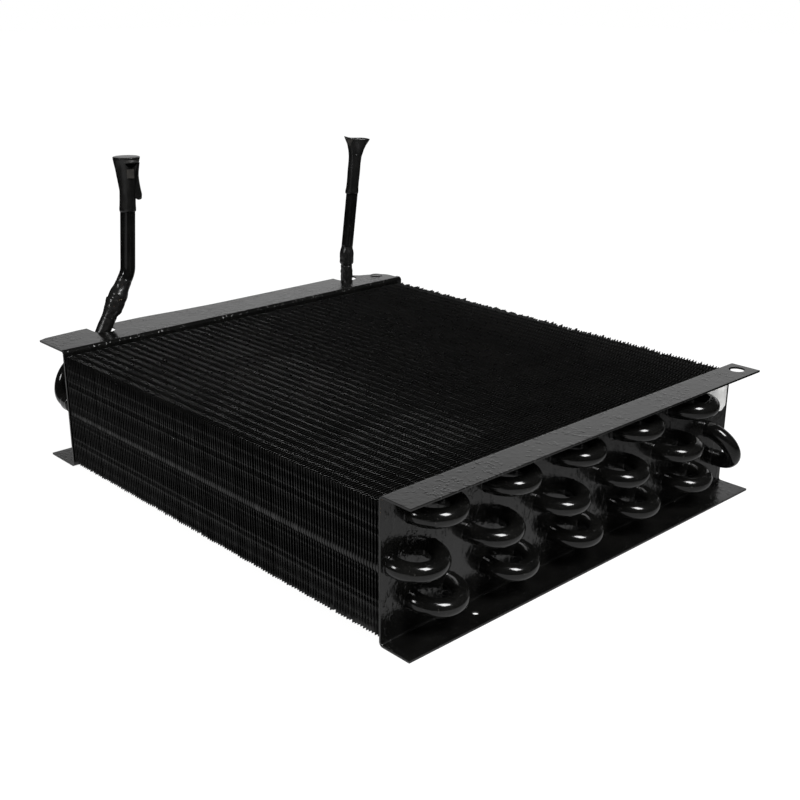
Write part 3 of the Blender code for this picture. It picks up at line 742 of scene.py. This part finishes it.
def folded_plate(name, side, top_reach, low_reach, cutters, replaced):
    """A plate with smooth folds, rounded sheet edges and its cut-outs."""
    mid = SHEET / 2
    web = WEB_OUTSIDE - mid
    path = [(WEB_OUTSIDE + top_reach, PLATE_HEIGHT - mid)]
    steps = 6
    for i in range(steps + 1):
        turn = math.pi / 2 * i / steps
        drop = FOLD_RADIUS * (1 - math.cos(turn))
        path.append((web + FOLD_RADIUS * (1 - math.sin(turn)), PLATE_HEIGHT - mid - drop))
    path += [(x, PLATE_HEIGHT - z) for x, z in reversed(path[1:])]
    path.append((WEB_OUTSIDE + low_reach, mid))
    bm = bmesh.new()
    near = [bm.verts.new(at(side * x, -PLATE_HALF, z)) for x, z in path]
    edges = [bm.edges.new(pair) for pair in zip(near, near[1:])]
    slide(bm, bmesh.ops.extrude_edge_only(bm, edges=edges), (0, 2 * PLATE_HALF * MM, 0))
    obj = bmesh_object(name, bm)
    thick = obj.modifiers.new("sheet", "SOLIDIFY")
    thick.thickness = SHEET * MM
    thick.offset = 0.0
    thick.use_even_offset = True
    for cutter in cutters:
        step = obj.modifiers.new(cutter.name, "BOOLEAN")
        step.operation = "DIFFERENCE"
        step.solver = "EXACT"
        step.object = cutter
    bevel = obj.modifiers.new("edges", "BEVEL")
    bevel.width = 0.22 * MM
    bevel.segments = 2
    bevel.limit_method = "ANGLE"
    bevel.angle_limit = math.radians(50)
    plate = evaluated_piece(obj, name, SHEET_PAINT)
    for cutter in cutters:
        bpy.data.objects.remove(cutter, do_unlink=True)
    plate.data.shade_smooth()
    plate.data.set_sharp_from_angle(angle=math.radians(40))
    flat = plate.modifiers.new("flat_faces", "WEIGHTED_NORMAL")
    flat.mode = "FACE_AREA"
    flat.weight = 100
    flat.keep_sharp = True
    finish_piece(evaluated_piece(plate, name, SHEET_PAINT), replaced)


def plates():
    """Both end plates, with their holes and slots."""
    top = (PLATE_HEIGHT - CUT_PAST, PLATE_HEIGHT + CUT_PAST)
    low = (-CUT_PAST, CUT_PAST)
    cutters = [prism("near_hole", arc(NEAR_HOLE, NEAR_HOLE_RADIUS, *ROUND), *top)]
    for number, hole in enumerate(PILOT_HOLES, start=1):
        cutters.append(prism(f"near_pilot_{number}", arc(hole, PILOT_RADIUS, *SMALL_ROUND), *low))
    folded_plate("plate_near", 1, NEAR_FLANGE, NEAR_FLANGE, cutters, ["end_plate_near"])

    outside = -(WEB_OUTSIDE + 40.0)

    def slot(name, middle, half, before, after):
        """A cutter for a slot with a round bottom, open towards the flange's edge."""
        bottom = arc((SLOT_END - half, middle), half, -90, 90, 16)
        return prism(name, before + [(outside, middle - half)] + bottom + after, *top)

    # A thin strip closes half of the slot for the smaller pipe.
    strip = [(-171.3, 113.6), (-171.9, 111.5), (-171.9, LIQUID_SLOT_Y), (outside, LIQUID_SLOT_Y)]
    suction_end = [(outside, SUCTION_SLOT_Y + SUCTION_SLOT_HALF)]
    past = PLATE_HALF + CUT_PAST
    edge = FAR_EDGE + arc(FAR_CORNER, FAR_CORNER_RADIUS, 165, 96, 8)
    edge += [(-147.0, 138.3), (-147.0, past), (outside, past), (outside, -past)]
    cutters = [
        prism("far_trim", edge, *top),
        slot("suction_slot", SUCTION_SLOT_Y, SUCTION_SLOT_HALF, suction_end, []),
        slot("liquid_slot", LIQUID_SLOT_Y, LIQUID_SLOT_HALF, [], strip),
        prism("far_hole", arc(FAR_HOLE, FAR_HOLE_RADIUS, *FAR_ROUND), *top),
    ]
    folded_plate("plate_far", -1, FAR_FLANGE, FAR_FLANGE_BELOW, cutters, ["end_plate_far"])

    # Paint closes the far hole, whose rim stands up a little: radii, and heights over the flange.
    skin = [
        (4.9, -0.1), (4.7, 0.12), (4.3, 0.36), (3.7, 0.50), (3.0, 0.46), (2.0, 0.30), (1.0, 0.20), (0.1, 0.18),
    ]
    rings = [[(x, y, PLATE_HEIGHT + rise) for x, y in arc(FAR_HOLE, radius, *ROUND)] for radius, rise in skin]
    finish_piece(loft("far_hole_rim", rings, SHEET_PAINT, closed=False))
    # A sheet of the plate's paint closes one of the two small screw holes: painted shade, where the floor
    # under the flange lies in shadow.
    shade_outline = arc(PILOT_HOLES[1], PILOT_RADIUS + 0.05, *SMALL_ROUND)
    shade_sheet = [[(x, y, height) for x, y in shade_outline] for height in (0.35, 0.75)]
    finish_piece(loft("pilot_hole_painted_shade", shade_sheet, SHEET_PAINT))


def label():
    """The bare label, with one rounded corner and its lower edge slightly lifted."""
    right = PLATE_HALF - LABEL_INSET
    left = right - LABEL_WIDTH
    high = PLATE_HEIGHT - LABEL_DROP
    low = high - LABEL_HEIGHT

    def point(t, u):
        z = low + (high - low) * t
        inside = LABEL_CORNER - min(LABEL_CORNER, z - low)
        cut = LABEL_CORNER - math.sqrt(max(0.0, LABEL_CORNER ** 2 - inside ** 2))
        lift = 0.25 * max(0.0, 1 - t * 6) * u
        return (WEB_OUTSIDE + 0.14 + lift, left + (right - cut - left) * u, z)

    piece = thin_patch("bare_label", 12, 8, point, LABEL_THICKNESS, LABEL_PAPER)
    finish_piece(piece, ["blank_label"])


# Hairpins, return bends and their roots.

HAIRPIN_STEPS = 30
RETURN_STEPS = 24


def bend_sag(first, second):
    """How far a hairpin's bend stands off the plate, and how far it droops, in mm."""
    if first[0] != second[0]:
        return 1.8, 0.9
    left = 1 - (first[1] - 1) / 8
    if first[0] == 1:
        return (0.6, 0.5 * left - 0.2 * (1 - left)) if left else (2.0, -0.4)
    if first[0] == 2:
        return (1.3 if left == 1 else 2.0), 0.35 + 1.1 * left ** 1.5
    return 2.0, 0.9 + 1.1 * left


def hairpins():
    """Smooth hairpins: the bends at the near end and their long legs."""
    thinned = [1 - 0.012 * math.sin(math.pi * i / HAIRPIN_STEPS) for i in range(HAIRPIN_STEPS + 1)]
    radii = [TUBE_RADIUS * s for s in [1.0] * 3 + thinned + [1.0] * 3]
    for number, (first, second) in enumerate(HAIRPINS, start=1):
        a = tube_axis(*first)
        b = tube_axis(*second)
        standoff, sag = bend_sag(first, second)
        jitter = RANDOM.normal(0.0, 0.12, 2) - np.array([0.0, sag])
        bend = bend_points(a, b, WEB_OUTSIDE + standoff, 1, HAIRPIN_STEPS, jitter)
        legs = [(x, *a) for x in (-(WEB_OUTSIDE + 3.0), -WEB_OUTSIDE + 1, WEB_OUTSIDE - 2)]
        path = legs + bend + [(x, *b) for x, _, _ in reversed(legs)]
        obj = tube_piece(f"hairpin_tube_{number:02d}", path, radii, 32, TUBE_PAINT)
        finish_piece(obj, [f"hairpin_{number:02d}"])


def tube_roots():
    """Small paint fillets where the tubes leave the plates."""
    sides = 28
    # Heights over the plate, and radii.
    profile = [(0.0, 5.2), (0.1, 5.05), (0.3, 4.93), (0.6, 4.85), (1.0, 4.81)]
    for name, side in (("tube_roots_near", 1), ("tube_roots_far", -1)):
        points = []
        quads = []
        for tube in ALL_TUBES:
            y, z = tube_axis(*tube)
            lean = RANDOM.uniform(0, 2 * math.pi)
            quads += ring_quads(len(profile), sides, len(points))
            for height, radius in profile:
                x = side * (WEB_OUTSIDE + height - 0.05)
                for angle in turns(sides):
                    swell = 1 + 0.10 * math.cos(angle - lean) * (radius - TUBE_RADIUS)
                    r = TUBE_RADIUS + (radius - TUBE_RADIUS) * swell
                    points.append((x, y + r * math.cos(angle), z + r * math.sin(angle)))
        finish_piece(array_piece(name, points, quads, TUBE_PAINT))


def return_bends():
    """Brazed return bends: belled sockets with a lumpy ring of braze."""
    # Lengths along a socket, and radii.
    mouth = [
        (0.0, 4.9), (0.25, 5.6), (0.7, 6.25), (1.3, 6.3), (1.9, 6.05), (2.6, SOCKET_RADIUS),
        (SOCKET_LENGTH, SOCKET_RADIUS), (SOCKET_LENGTH + 0.7, 5.85), (SOCKET_LENGTH + 1.7, 5.1),
        (SOCKET_LENGTH + SOCKET_TAPER, TUBE_RADIUS),
    ]
    start = SOCKET_START - 0.3
    for number, (first, second) in enumerate(RETURNS, start=1):
        a = tube_axis(*first)
        b = tube_axis(*second)
        jitter = RANDOM.normal(0.0, 0.2, 2)
        bend = bend_points(a, b, start + SOCKET_LENGTH + SOCKET_TAPER + 0.3, -1, RETURN_STEPS, jitter)
        path = [(-(start + s), *a) for s, _ in mouth] + bend
        path += [(-(start + s), *b) for s, _ in reversed(mouth)]
        radii = [r for _, r in mouth] + [TUBE_RADIUS] * len(bend) + [r for _, r in reversed(mouth)]
        last = len(path) - 1
        seed = Vector((number * 7.3, 0, 0))

        def wobble(point, i):
            ring = min(i, last - i)
            if ring > 4:
                return 0.0
            return 0.28 * noise.noise(point * 0.45 + seed) * (0.4 if ring in (0, 4) else 1.0)

        obj = tube_piece(f"return_tube_{number:02d}", path, radii, 26, TUBE_PAINT, wobble)
        finish_piece(obj, [f"return_bend_{number:02d}"])


# The two pipes.

# The wraps and the joint were shaped as seen from one side: across it, and towards the eye.
VIEW_TURN = math.radians(56.0)
ACROSS = Vector((math.cos(VIEW_TURN), math.sin(VIEW_TURN), 0))
TOWARDS = Vector((math.sin(VIEW_TURN), -math.cos(VIEW_TURN), 0))
PIPE_SPACING = 0.8
SUCTION_ROUTE = [
    (-SOCKET_START, -120.95, 17.6), (PIPE_X, -120.95, 17.6), (PIPE_X, -120.95, 37.0),
    (PIPE_X, -77.6, 110.8), (PIPE_X, -74.4, 150.5), (PIPE_X, -72.9, 176.0),
]
LIQUID_ROUTE = [
    (-SOCKET_START, 107.65, 61.6), (PIPE_X, 107.65, 61.6), (PIPE_X, 107.65, 87.0),
    (PIPE_X, 108.3, 99.0), (PIPE_X, 114.0, 140.5), (PIPE_X, 117.5, 168.0),
]
# The joints' low and high ends, and their radii at heights.
SUCTION_JOINT = (83.5, 106.0)
SUCTION_JOINT_LEFT = [
    (82.0, 4.65), (86.0, 4.9), (89.0, 5.5), (92.4, 6.2), (93.3, 6.35), (93.9, 5.5), (96.5, 5.9), (98.5, 5.8),
    (100.5, 5.2), (102.5, 4.85), (106.5, 4.7),
]
SUCTION_JOINT_RIGHT = [
    (82.0, 4.65), (85.5, 4.7), (86.8, 5.7), (88.2, 6.3), (91.0, 6.1), (94.5, 6.1), (96.5, 6.3), (98.3, 5.7),
    (100.5, 5.2), (103.5, 4.9), (106.5, 4.7),
]
LIQUID_JOINT = (85.6, 100.5)
LIQUID_JOINT_RADII = [
    (84.8, 4.1), (86.9, 4.15), (87.5, 4.9), (88.4, 5.2), (95.5, 5.2), (97.2, 4.9), (98.8, 4.4), (100.8, 4.05),
]


def split_pipe(points, joint):
    """A pipe's points below its joint, on it and above it; neighbours overlap."""
    low, high = (next(i for i, p in enumerate(points) if p.z > z) for z in joint)
    return points[:low + 1], points[low - 1:high + 1], points[high - 1:]


def stub_radii(points, radius, level):
    """A stub's radii: its socket, up to a height, and the pipe after it."""
    socket = [
        (0, 5.0), (0.5, 6.2), (1.4, 6.25), (2.2, SOCKET_RADIUS), (SOCKET_LENGTH, SOCKET_RADIUS),
        (SOCKET_LENGTH + SOCKET_TAPER, radius),
    ]
    return [profile_at(socket, -p.x - SOCKET_START) if p.z < level else radius for p in points]


def suction_line():
    """Larger pipe: stub with its socket, lumpy joint, and the pipe above."""
    points = resample(rounded_route(SUCTION_ROUTE, ELBOW_RADIUS), PIPE_SPACING)
    stub, joint, upper = split_pipe(points, SUCTION_JOINT)
    joint_radii = [profile_at(SUCTION_JOINT_LEFT, p.z) for p in joint]

    def stub_wobble(point, i):
        return float(smooth_step(68.0, 84.0, stub[i].z)) * 0.35 * noise.noise(point * 0.35)

    def joint_wobble(point, i):
        share = 0.5 + 0.5 * max(-1.0, min(1.0, (point - joint[i]).dot(ACROSS) / joint_radii[i]))
        step = (profile_at(SUCTION_JOINT_RIGHT, joint[i].z) - joint_radii[i]) * share
        return step + 0.42 * noise.noise(point * 0.30 + Vector((3, 1, 0))) + 0.16 * noise.noise(point * 0.85)

    def upper_wobble(point, i):
        return 0.3 * (1 - float(smooth_step(106.0, 114.0, upper[i].z))) * noise.noise(point * 0.4)

    radii = stub_radii(stub, SUCTION_RADIUS, 18)
    obj = tube_piece("suction_lower", stub, radii, 36, DULL_TUBE_PAINT, stub_wobble)
    finish_piece(obj, ["suction_stub"])
    obj = tube_piece("suction_joint", joint, joint_radii, 40, BRAZE_PAINT, joint_wobble)
    finish_piece(obj, ["suction_coupling"])
    obj = tube_piece("suction_upper", upper, [SUCTION_RADIUS] * len(upper), 48, PIPE_PAINT, upper_wobble)
    finish_piece(obj, ["suction_pipe"])


def liquid_line():
    """Smaller pipe, with its sleeve-like joint."""
    route = rounded_route(LIQUID_ROUTE[:3], ELBOW_RADIUS) + [Vector(p) for p in LIQUID_ROUTE[3:]]
    stub, joint, upper = split_pipe(resample(route, PIPE_SPACING), LIQUID_JOINT)

    def stub_wobble(point, i):
        near_joint = float(smooth_step(70.0, 76.0, stub[i].z))
        return near_joint * (0.45 * noise.noise(point * 0.5 + Vector((9, 0, 0))) + 0.15)

    def joint_wobble(point, i):
        return 0.2 * noise.noise(point * 0.4 + Vector((5, 2, 0)))

    radii = stub_radii(stub, LIQUID_RADIUS, 62)
    obj = tube_piece("liquid_lower", stub, radii, 36, BRAZE_PAINT, stub_wobble)
    finish_piece(obj, ["liquid_stub"])
    radii = [profile_at(LIQUID_JOINT_RADII, p.z) for p in joint]
    obj = tube_piece("liquid_joint", joint, radii, 36, BRAZE_PAINT, joint_wobble)
    finish_piece(obj, ["liquid_coupling"])
    obj = tube_piece("liquid_upper", upper, [LIQUID_RADIUS] * len(upper), 36, PIPE_PAINT)
    finish_piece(obj, ["liquid_pipe"])


# End wraps: the foot and the top of each, and its shape as
# (share of the height, half width to the left, to the right, and half depth).

SUCTION_WRAP = (Vector((PIPE_X, -74.4, 149.6)), Vector((PIPE_X, -72.5, 183.3)))
SUCTION_WRAP_SHAPE = [
    (0.0, 4.95, 5.3, 5.2), (0.04, 5.15, 5.45, 5.35), (0.12, 5.0, 5.3, 5.2), (0.38, 5.05, 5.3, 5.2),
    (0.455, 5.4, 5.5, 5.3), (0.60, 6.0, 6.1, 5.6), (0.75, 6.9, 6.7, 6.1), (0.825, 7.4, 7.3, 6.4),
    (0.90, 8.0, 7.7, 6.8), (0.97, 8.5, 8.2, 7.3), (1.0, 8.6, 8.3, 7.4),
]
# How far the flap reaches to the right, at shares of the height.
FLAP_REACH = [
    (0.25, 8.7), (0.32, 9.2), (0.38, 8.7), (0.455, 8.1), (0.60, 7.3), (0.70, 7.0), (0.80, 7.4), (0.95, 8.0),
]
LIQUID_WRAP = (Vector((PIPE_X, 113.5, 139.7)), Vector((PIPE_X, 118.9, 179.2)))
LIQUID_WRAP_SHAPE = [
    (0.0, 4.75, 4.75, 4.7), (0.03, 4.9, 4.8, 4.8), (0.10, 4.55, 4.6, 4.6), (0.55, 4.5, 4.6, 4.5),
    (0.66, 4.6, 4.9, 4.4), (0.78, 5.3, 5.9, 4.0), (0.88, 6.7, 7.3, 3.5), (0.96, 8.6, 9.0, 3.1),
    (1.0, 9.3, 9.7, 3.0),
]
LIQUID_WRAP_WALL = 0.75


def wrap_size(shape, share):
    """Half widths to the left and right, and half depth, at a share of the height."""
    shares, *sizes = zip(*shape)
    return [np.interp(share, shares, size) for size in sizes]


def on_wrap(wrap, share, across, out):
    """A point on or in a wrap."""
    return wrap[0].lerp(wrap[1], share) + ACROSS * across + TOWARDS * out


def rounded(across, deep, half):
    """Depth of an oval's front, at a distance across it."""
    return deep * math.sqrt(max(0.0, 1 - (across / half) ** 2))


def suction_wrap():
    """The larger pipe's wrap: a flared sleeve with a closed, slightly domed end."""
    count = 40
    tip = SUCTION_WRAP[1]
    rings = []
    for i in range(count + 1):
        left, right, deep = wrap_size(SUCTION_WRAP_SHAPE, i / count)
        centre = on_wrap(SUCTION_WRAP, i / count, 0.0, 0.0)
        ring = []
        for angle in turns(48):
            c = math.cos(angle)
            point = centre + ACROSS * ((right if c > 0 else left) * c) + TOWARDS * (deep * math.sin(angle))
            crease = 0.28 * noise.noise(Vector((point.x * 0.35, point.y * 0.35, point.z * 0.12)))
            ring.append(point + (point - centre).normalized() * crease)
        rings.append(ring)
    # The end's dome, as shares of its width and heights.
    for share, rise in ((0.985, 0.22), (0.95, 0.32), (0.6, 0.36), (0.25, 0.38)):
        rings.append([tip + UP * rise + (p - tip) * share for p in rings[count]])
    finish_piece(loft("suction_wrap", rings, WRAP_PAINT), ["suction_end_wrap"])


def suction_wrap_details():
    """The folded flap, the bare window, the lip of the fold in a paler finish as painted sheen, and a black
    sheet as painted shade in the fold's mouth.
    """

    def flap(t, u):
        share = 0.265 + 0.64 * t
        inner = 4.6 + 2.4 * t
        across = inner + (profile_at(FLAP_REACH, share) - inner) * u
        out = 3.2 * (1 - u) ** 0.8 + 0.6 * u + 0.5 * math.sin(2.6 * t) * u
        return on_wrap(SUCTION_WRAP, share - 0.05 * (1 - t) * math.sin(math.pi * u * 0.8), across, out)

    def window(t, u):
        across = 0.3 + 4.4 * u
        return on_wrap(SUCTION_WRAP, 0.635 + 0.165 * t, across, rounded(across, 6.15, 8.2) + 0.22)

    # The fold's lip takes the paler finish: painted sheen.
    def lip(t, u):
        across = -1.0 + 8.2 * u
        arch = math.sin(math.pi * u)
        bulge = 0.5 + (0.2 + 0.6 * arch) * math.sin(math.pi * min(1.0, 0.15 + t))
        out = rounded(min(8.0, across), 6.6, 8.8) + bulge
        return on_wrap(SUCTION_WRAP, 0.915 + (0.035 + 0.015 * arch) * t, across, out)

    # The fold's mouth is a black sheet without reflection: painted shade.
    def mouth(t, u):
        across = -0.4 + 7.0 * u
        share = 0.915 - 0.085 * (1 - t) * math.sin(math.pi * (0.10 + 0.80 * u))
        return on_wrap(SUCTION_WRAP, share, across, rounded(across, 6.6, 8.6) + 0.5)

    for name, rows, columns, point, thickness, material in (
        ("flap", 8, 6, flap, 0.5, WRAP_PAINT), ("window", 5, 6, window, 0.15, TAPE_INSIDE),
        ("lip", 5, 10, lip, 0.4, WRAP_LIP_PAINTED_SHEEN), ("mouth", 3, 8, mouth, 0.1, PAINTED_SHADE_BLACK),
    ):
        piece = thin_patch(f"suction_wrap_{name}", rows, columns, point, thickness, material)
        finish_piece(piece)


def liquid_wrap():
    """The smaller pipe's wrap: a sleeve pressed flat at its open end, and its lining."""
    count = 44
    outer = []
    inner = []
    for i in range(count + 1):
        share = i / count
        left, right, deep = wrap_size(LIQUID_WRAP_SHAPE, share)
        centre = on_wrap(LIQUID_WRAP, share, 0.0, 0.0)
        ring = []
        hollow = []
        for angle in turns(56):
            c = math.cos(angle)
            across = (right if c > 0 else left) * math.copysign(abs(c) ** 0.9, c)
            # The top edge climbs to the left and falls to the right.
            slant = 1.6 * max(0.0, -c) ** 3 - 0.9 * max(0.0, c) ** 3
            rise = max(0.0, share - 0.8) / 0.2 * slant
            point = centre + ACROSS * across + TOWARDS * (deep * math.sin(angle)) + UP * rise
            crease = 0.22 * noise.noise(Vector((point.x * 0.4, point.y * 0.4, point.z * 0.1)))
            away = (point - centre).normalized()
            point = point + away * crease
            ring.append(point)
            hollow.append(point - away * LIQUID_WRAP_WALL)
        outer.append(ring)
        if share > 0.62:
            inner.append(hollow)
    wrap = loft("liquid_wrap", outer + list(reversed(inner)), WRAP_PAINT)
    finish_piece(wrap, ["liquid_end_wrap"])

    def lining(t, u):
        across = -5.2 - 1.9 * t + (0.5 + 3.4 * t) * u
        out = rounded(across, 3.4, 7.6 + 2.0 * t) + 0.3
        return on_wrap(LIQUID_WRAP, 0.865 + 0.125 * t, across, out)

    finish_piece(thin_patch("liquid_wrap_lining", 5, 5, lining, 0.12, TAPE_INSIDE))


# Small marks, where fins, a plate and a pipe were knocked: (x, y, z, size).

BARE_FLECKS = [
    (-82.3, -139.6, 70.6, 0.8), (-83.6, -139.3, 71.4, 0.45), (-88.5, -139.6, 69.8, 0.65),
    (-86.6, -138.0, 72.2, 0.7), (-85.0, -137.2, 72.4, 0.5), (-90.5, -139.4, 71.0, 0.35),
    (-81.0, -139.5, 69.0, 0.4), (-79.5, -137.8, 72.3, 0.35), (-128.8, -139.7, 60.7, 0.3),
    (98.7, -139.7, 8.5, 0.3), (-24.4, -139.8, 53.7, 0.3),
]
RUST_FLECKS = [
    (143.3, -140.1, 68.1, 0.55), (143.6, -140.2, 70.2, 0.35), (144.4, -140.2, 74.6, 0.4),
    (143.4, -140.1, 66.9, 0.3),
]
# A scratch down to the copper on the larger pipe's joint.
COPPER_FLECKS = [
    (-162.3, -89.6, 94.6, 0.5), (-162.0, -88.6, 94.9, 0.65), (-161.8, -87.4, 95.1, 0.65),
    (-161.8, -86.2, 95.3, 0.6), (-162.0, -84.8, 95.5, 0.5),
]


def flecks(name, spots, material):
    """Many irregular thin flakes as one piece."""
    rng = np.random.default_rng(5)
    points = []
    faces = []
    for x, y, z, size in spots:
        centre = Vector((x, y, z))
        normal = Vector(rng.normal(0.0, 1.0, 3)).normalized()
        side = normal.orthogonal().normalized()
        other = normal.cross(side)
        base = len(points)
        for angle in turns(6):
            r = size * rng.uniform(0.55, 1.2)
            points.append(centre + side * (r * math.cos(angle)) + other * (0.55 * r * math.sin(angle)))
        points += [centre + normal * (size * 0.25), centre - normal * (size * 0.25)]
        for k in range(6):
            m = (k + 1) % 6
            faces += [(base + k, base + m, base + 6), (base + m, base + k, base + 7)]
    finish_piece(mesh_piece(name, plain_mesh(name, points, faces), material, smooth=False))


# Stage, light and camera.

WHITE = (1, 1, 1, 1)
FLOOR_HALF = 6.0
FLOOR_DROP = 0.0002
# Middle of the lit backdrop, behind the coil.
BACKDROP_AZIMUTH = 217.0
# Middle of the paler walls round the key lamp.
GLOW_AZIMUTH = 106.0
GLOW_ELEVATION = 46.0
LAMP_AIM = Vector((0.06, -0.02, 0.04))
LAMP_DISTANCE = 1.35


def fade(tree, source, start, stop):
    """1 at start and beyond it, 0 at stop, with a smooth change between."""
    low, high = sorted((start, stop))
    falls = float(start < stop)
    limits = {"From Min": low, "From Max": high, "To Min": falls, "To Max": 1.0 - falls}
    node = add_node(tree, "ShaderNodeMapRange", {"Value": source, **limits})
    node.interpolation_type = "SMOOTHSTEP"
    return node.outputs["Result"]


def along(tree, source, axis):
    """How far a point or direction goes along an axis."""
    node = add_node(tree, "ShaderNodeVectorMath", {0: source, 1: tuple(axis)})
    node.operation = "DOT_PRODUCT"
    return node.outputs["Value"]


def white(tree, kind, strength):
    """White light from a floor or from the world."""
    return add_node(tree, kind, {"Color": WHITE, "Strength": strength}).outputs[0]


def mix(tree, share, first, second):
    """A mix of two shaders."""
    return add_node(tree, "ShaderNodeMixShader", {"Fac": share, 1: first, 2: second}).outputs["Shader"]


def stage():
    """A white table top; its reflection fades where the table ends."""
    corners = [(-FLOOR_HALF, -FLOOR_HALF, 0), (FLOOR_HALF, -FLOOR_HALF, 0),
               (FLOOR_HALF, FLOOR_HALF, 0), (-FLOOR_HALF, FLOOR_HALF, 0)]
    mesh = bpy.data.meshes.new("floor")
    mesh.from_pydata(corners, [], [(0, 1, 2, 3)])
    floor = add_object("floor", mesh)
    floor.location = (0, 0, -FLOOR_DROP)
    mat, tree = new_material("pale_floor")
    tree.nodes.clear()
    place = add_node(tree, "ShaderNodeNewGeometry", {}).outputs["Position"]
    front = direction(CAMERA_AZIMUTH, 0)
    ahead = along(tree, place, front)
    aside = along(tree, place, UP.cross(front))
    # In front, the table's left part is lit farther out than the rest.
    farther = calculate(tree, "MULTIPLY_ADD", fade(tree, aside, -0.07, 0.0), -0.12, ahead)
    table = [fade(tree, farther, 0.28, 0.60), fade(tree, ahead, -0.26, -0.46),
             fade(tree, aside, 0.07, 0.44), fade(tree, aside, -0.38, -0.72)]
    # Far out in front, to the left, something pale stands.
    pale = [fade(tree, ahead, 0.9, 0.6), fade(tree, aside, -0.30, -0.08), fade(tree, aside, -0.7, -1.3)]
    level = calculate(tree, "ADD", product(tree, table, 0.57), product(tree, pale, 0.42))
    mirrored = white(tree, "ShaderNodeEmission", level)
    diffuse = add_node(tree, "ShaderNodeBsdfDiffuse", {"Color": (0.82, 0.82, 0.82, 1)}).outputs["BSDF"]
    seen = mix(tree, 0.86, diffuse, white(tree, "ShaderNodeEmission", 1.12))
    paths = add_node(tree, "ShaderNodeLightPath", {}).outputs
    surface = mix(tree, paths["Is Glossy Ray"], mix(tree, paths["Is Camera Ray"], diffuse, seen), mirrored)
    add_node(tree, "ShaderNodeOutputMaterial", {"Surface": surface})
    mesh.materials.append(mat)


def world():
    """White to the eye; in reflections a pale backdrop behind, dark in front."""
    made = bpy.data.worlds.new("studio")
    bpy.context.scene.world = made
    made.use_nodes = True
    tree = made.node_tree
    tree.nodes.clear()
    look = add_node(tree, "ShaderNodeTexCoord", {}).outputs["Generated"]
    behind = fade(tree, along(tree, look, direction(BACKDROP_AZIMUTH, 0)), 0.93, 0.66)
    low = fade(tree, along(tree, look, UP), 0.46, 0.66)
    beside = fade(tree, along(tree, look, direction(GLOW_AZIMUTH, GLOW_ELEVATION)), 0.97, 0.72)
    level = calculate(tree, "ADD", product(tree, [behind, low], 0.66), product(tree, [beside], 0.03))
    mirrored = white(tree, "ShaderNodeBackground", calculate(tree, "ADD", level, 0.02))
    ambient = white(tree, "ShaderNodeBackground", 0.38)
    seen = white(tree, "ShaderNodeBackground", 1.0)
    paths = add_node(tree, "ShaderNodeLightPath", {}).outputs
    surface = mix(tree, paths["Is Camera Ray"], mix(tree, paths["Is Glossy Ray"], ambient, mirrored), seen)
    add_node(tree, "ShaderNodeOutputWorld", {"Surface": surface})


def softbox(name, azimuth, elevation, width, height, power):
    """A rectangular lamp that faces the coil."""
    lamp = bpy.data.lights.new(name, "AREA")
    lamp.shape = "RECTANGLE"
    lamp.size = width
    lamp.size_y = height
    lamp.energy = power
    obj = add_object(name, lamp)
    away = direction(azimuth, elevation)
    obj.location = LAMP_AIM + away * LAMP_DISTANCE
    obj.rotation_mode = "QUATERNION"
    obj.rotation_quaternion = away.to_track_quat("Z", "Y")


def camera():
    """The photograph's camera."""
    data = bpy.data.cameras.new("camera")
    data.lens = CAMERA_LENS
    data.sensor_width = 36.0
    data.clip_start = 0.01
    data.clip_end = 50.0
    obj = add_object("camera", data)
    back = direction(CAMERA_AZIMUTH, CAMERA_ELEVATION)
    right = UP.cross(back).normalized()
    up = back.cross(right)
    roll = math.radians(CAMERA_ROLL)
    turned_right = right * math.cos(roll) + up * math.sin(roll)
    turned_up = up * math.cos(roll) - right * math.sin(roll)
    rotation = Matrix((turned_right, turned_up, back)).transposed().to_4x4()
    obj.matrix_world = Matrix.Translation(CAMERA_AT) @ rotation
    bpy.context.scene.camera = obj


camera()
stage()
world()
softbox("key_softbox", 96, 52, 0.39, 0.58, 15.5)
softbox("side_softbox", -9, 30, 0.22, 0.34, 4.0)
fin_pieces()
plates()
hairpins()
collars()
tube_roots()
return_bends()
suction_line()
liquid_line()
suction_wrap()
suction_wrap_details()
liquid_wrap()
label()
flecks("bare_flecks", BARE_FLECKS, BARE_ALUMINIUM)
flecks("rust_flecks", RUST_FLECKS, RUST_FLECK)
flecks("copper_flecks", COPPER_FLECKS, BARE_COPPER)
bpy.context.scene.view_settings.view_transform = "Standard"
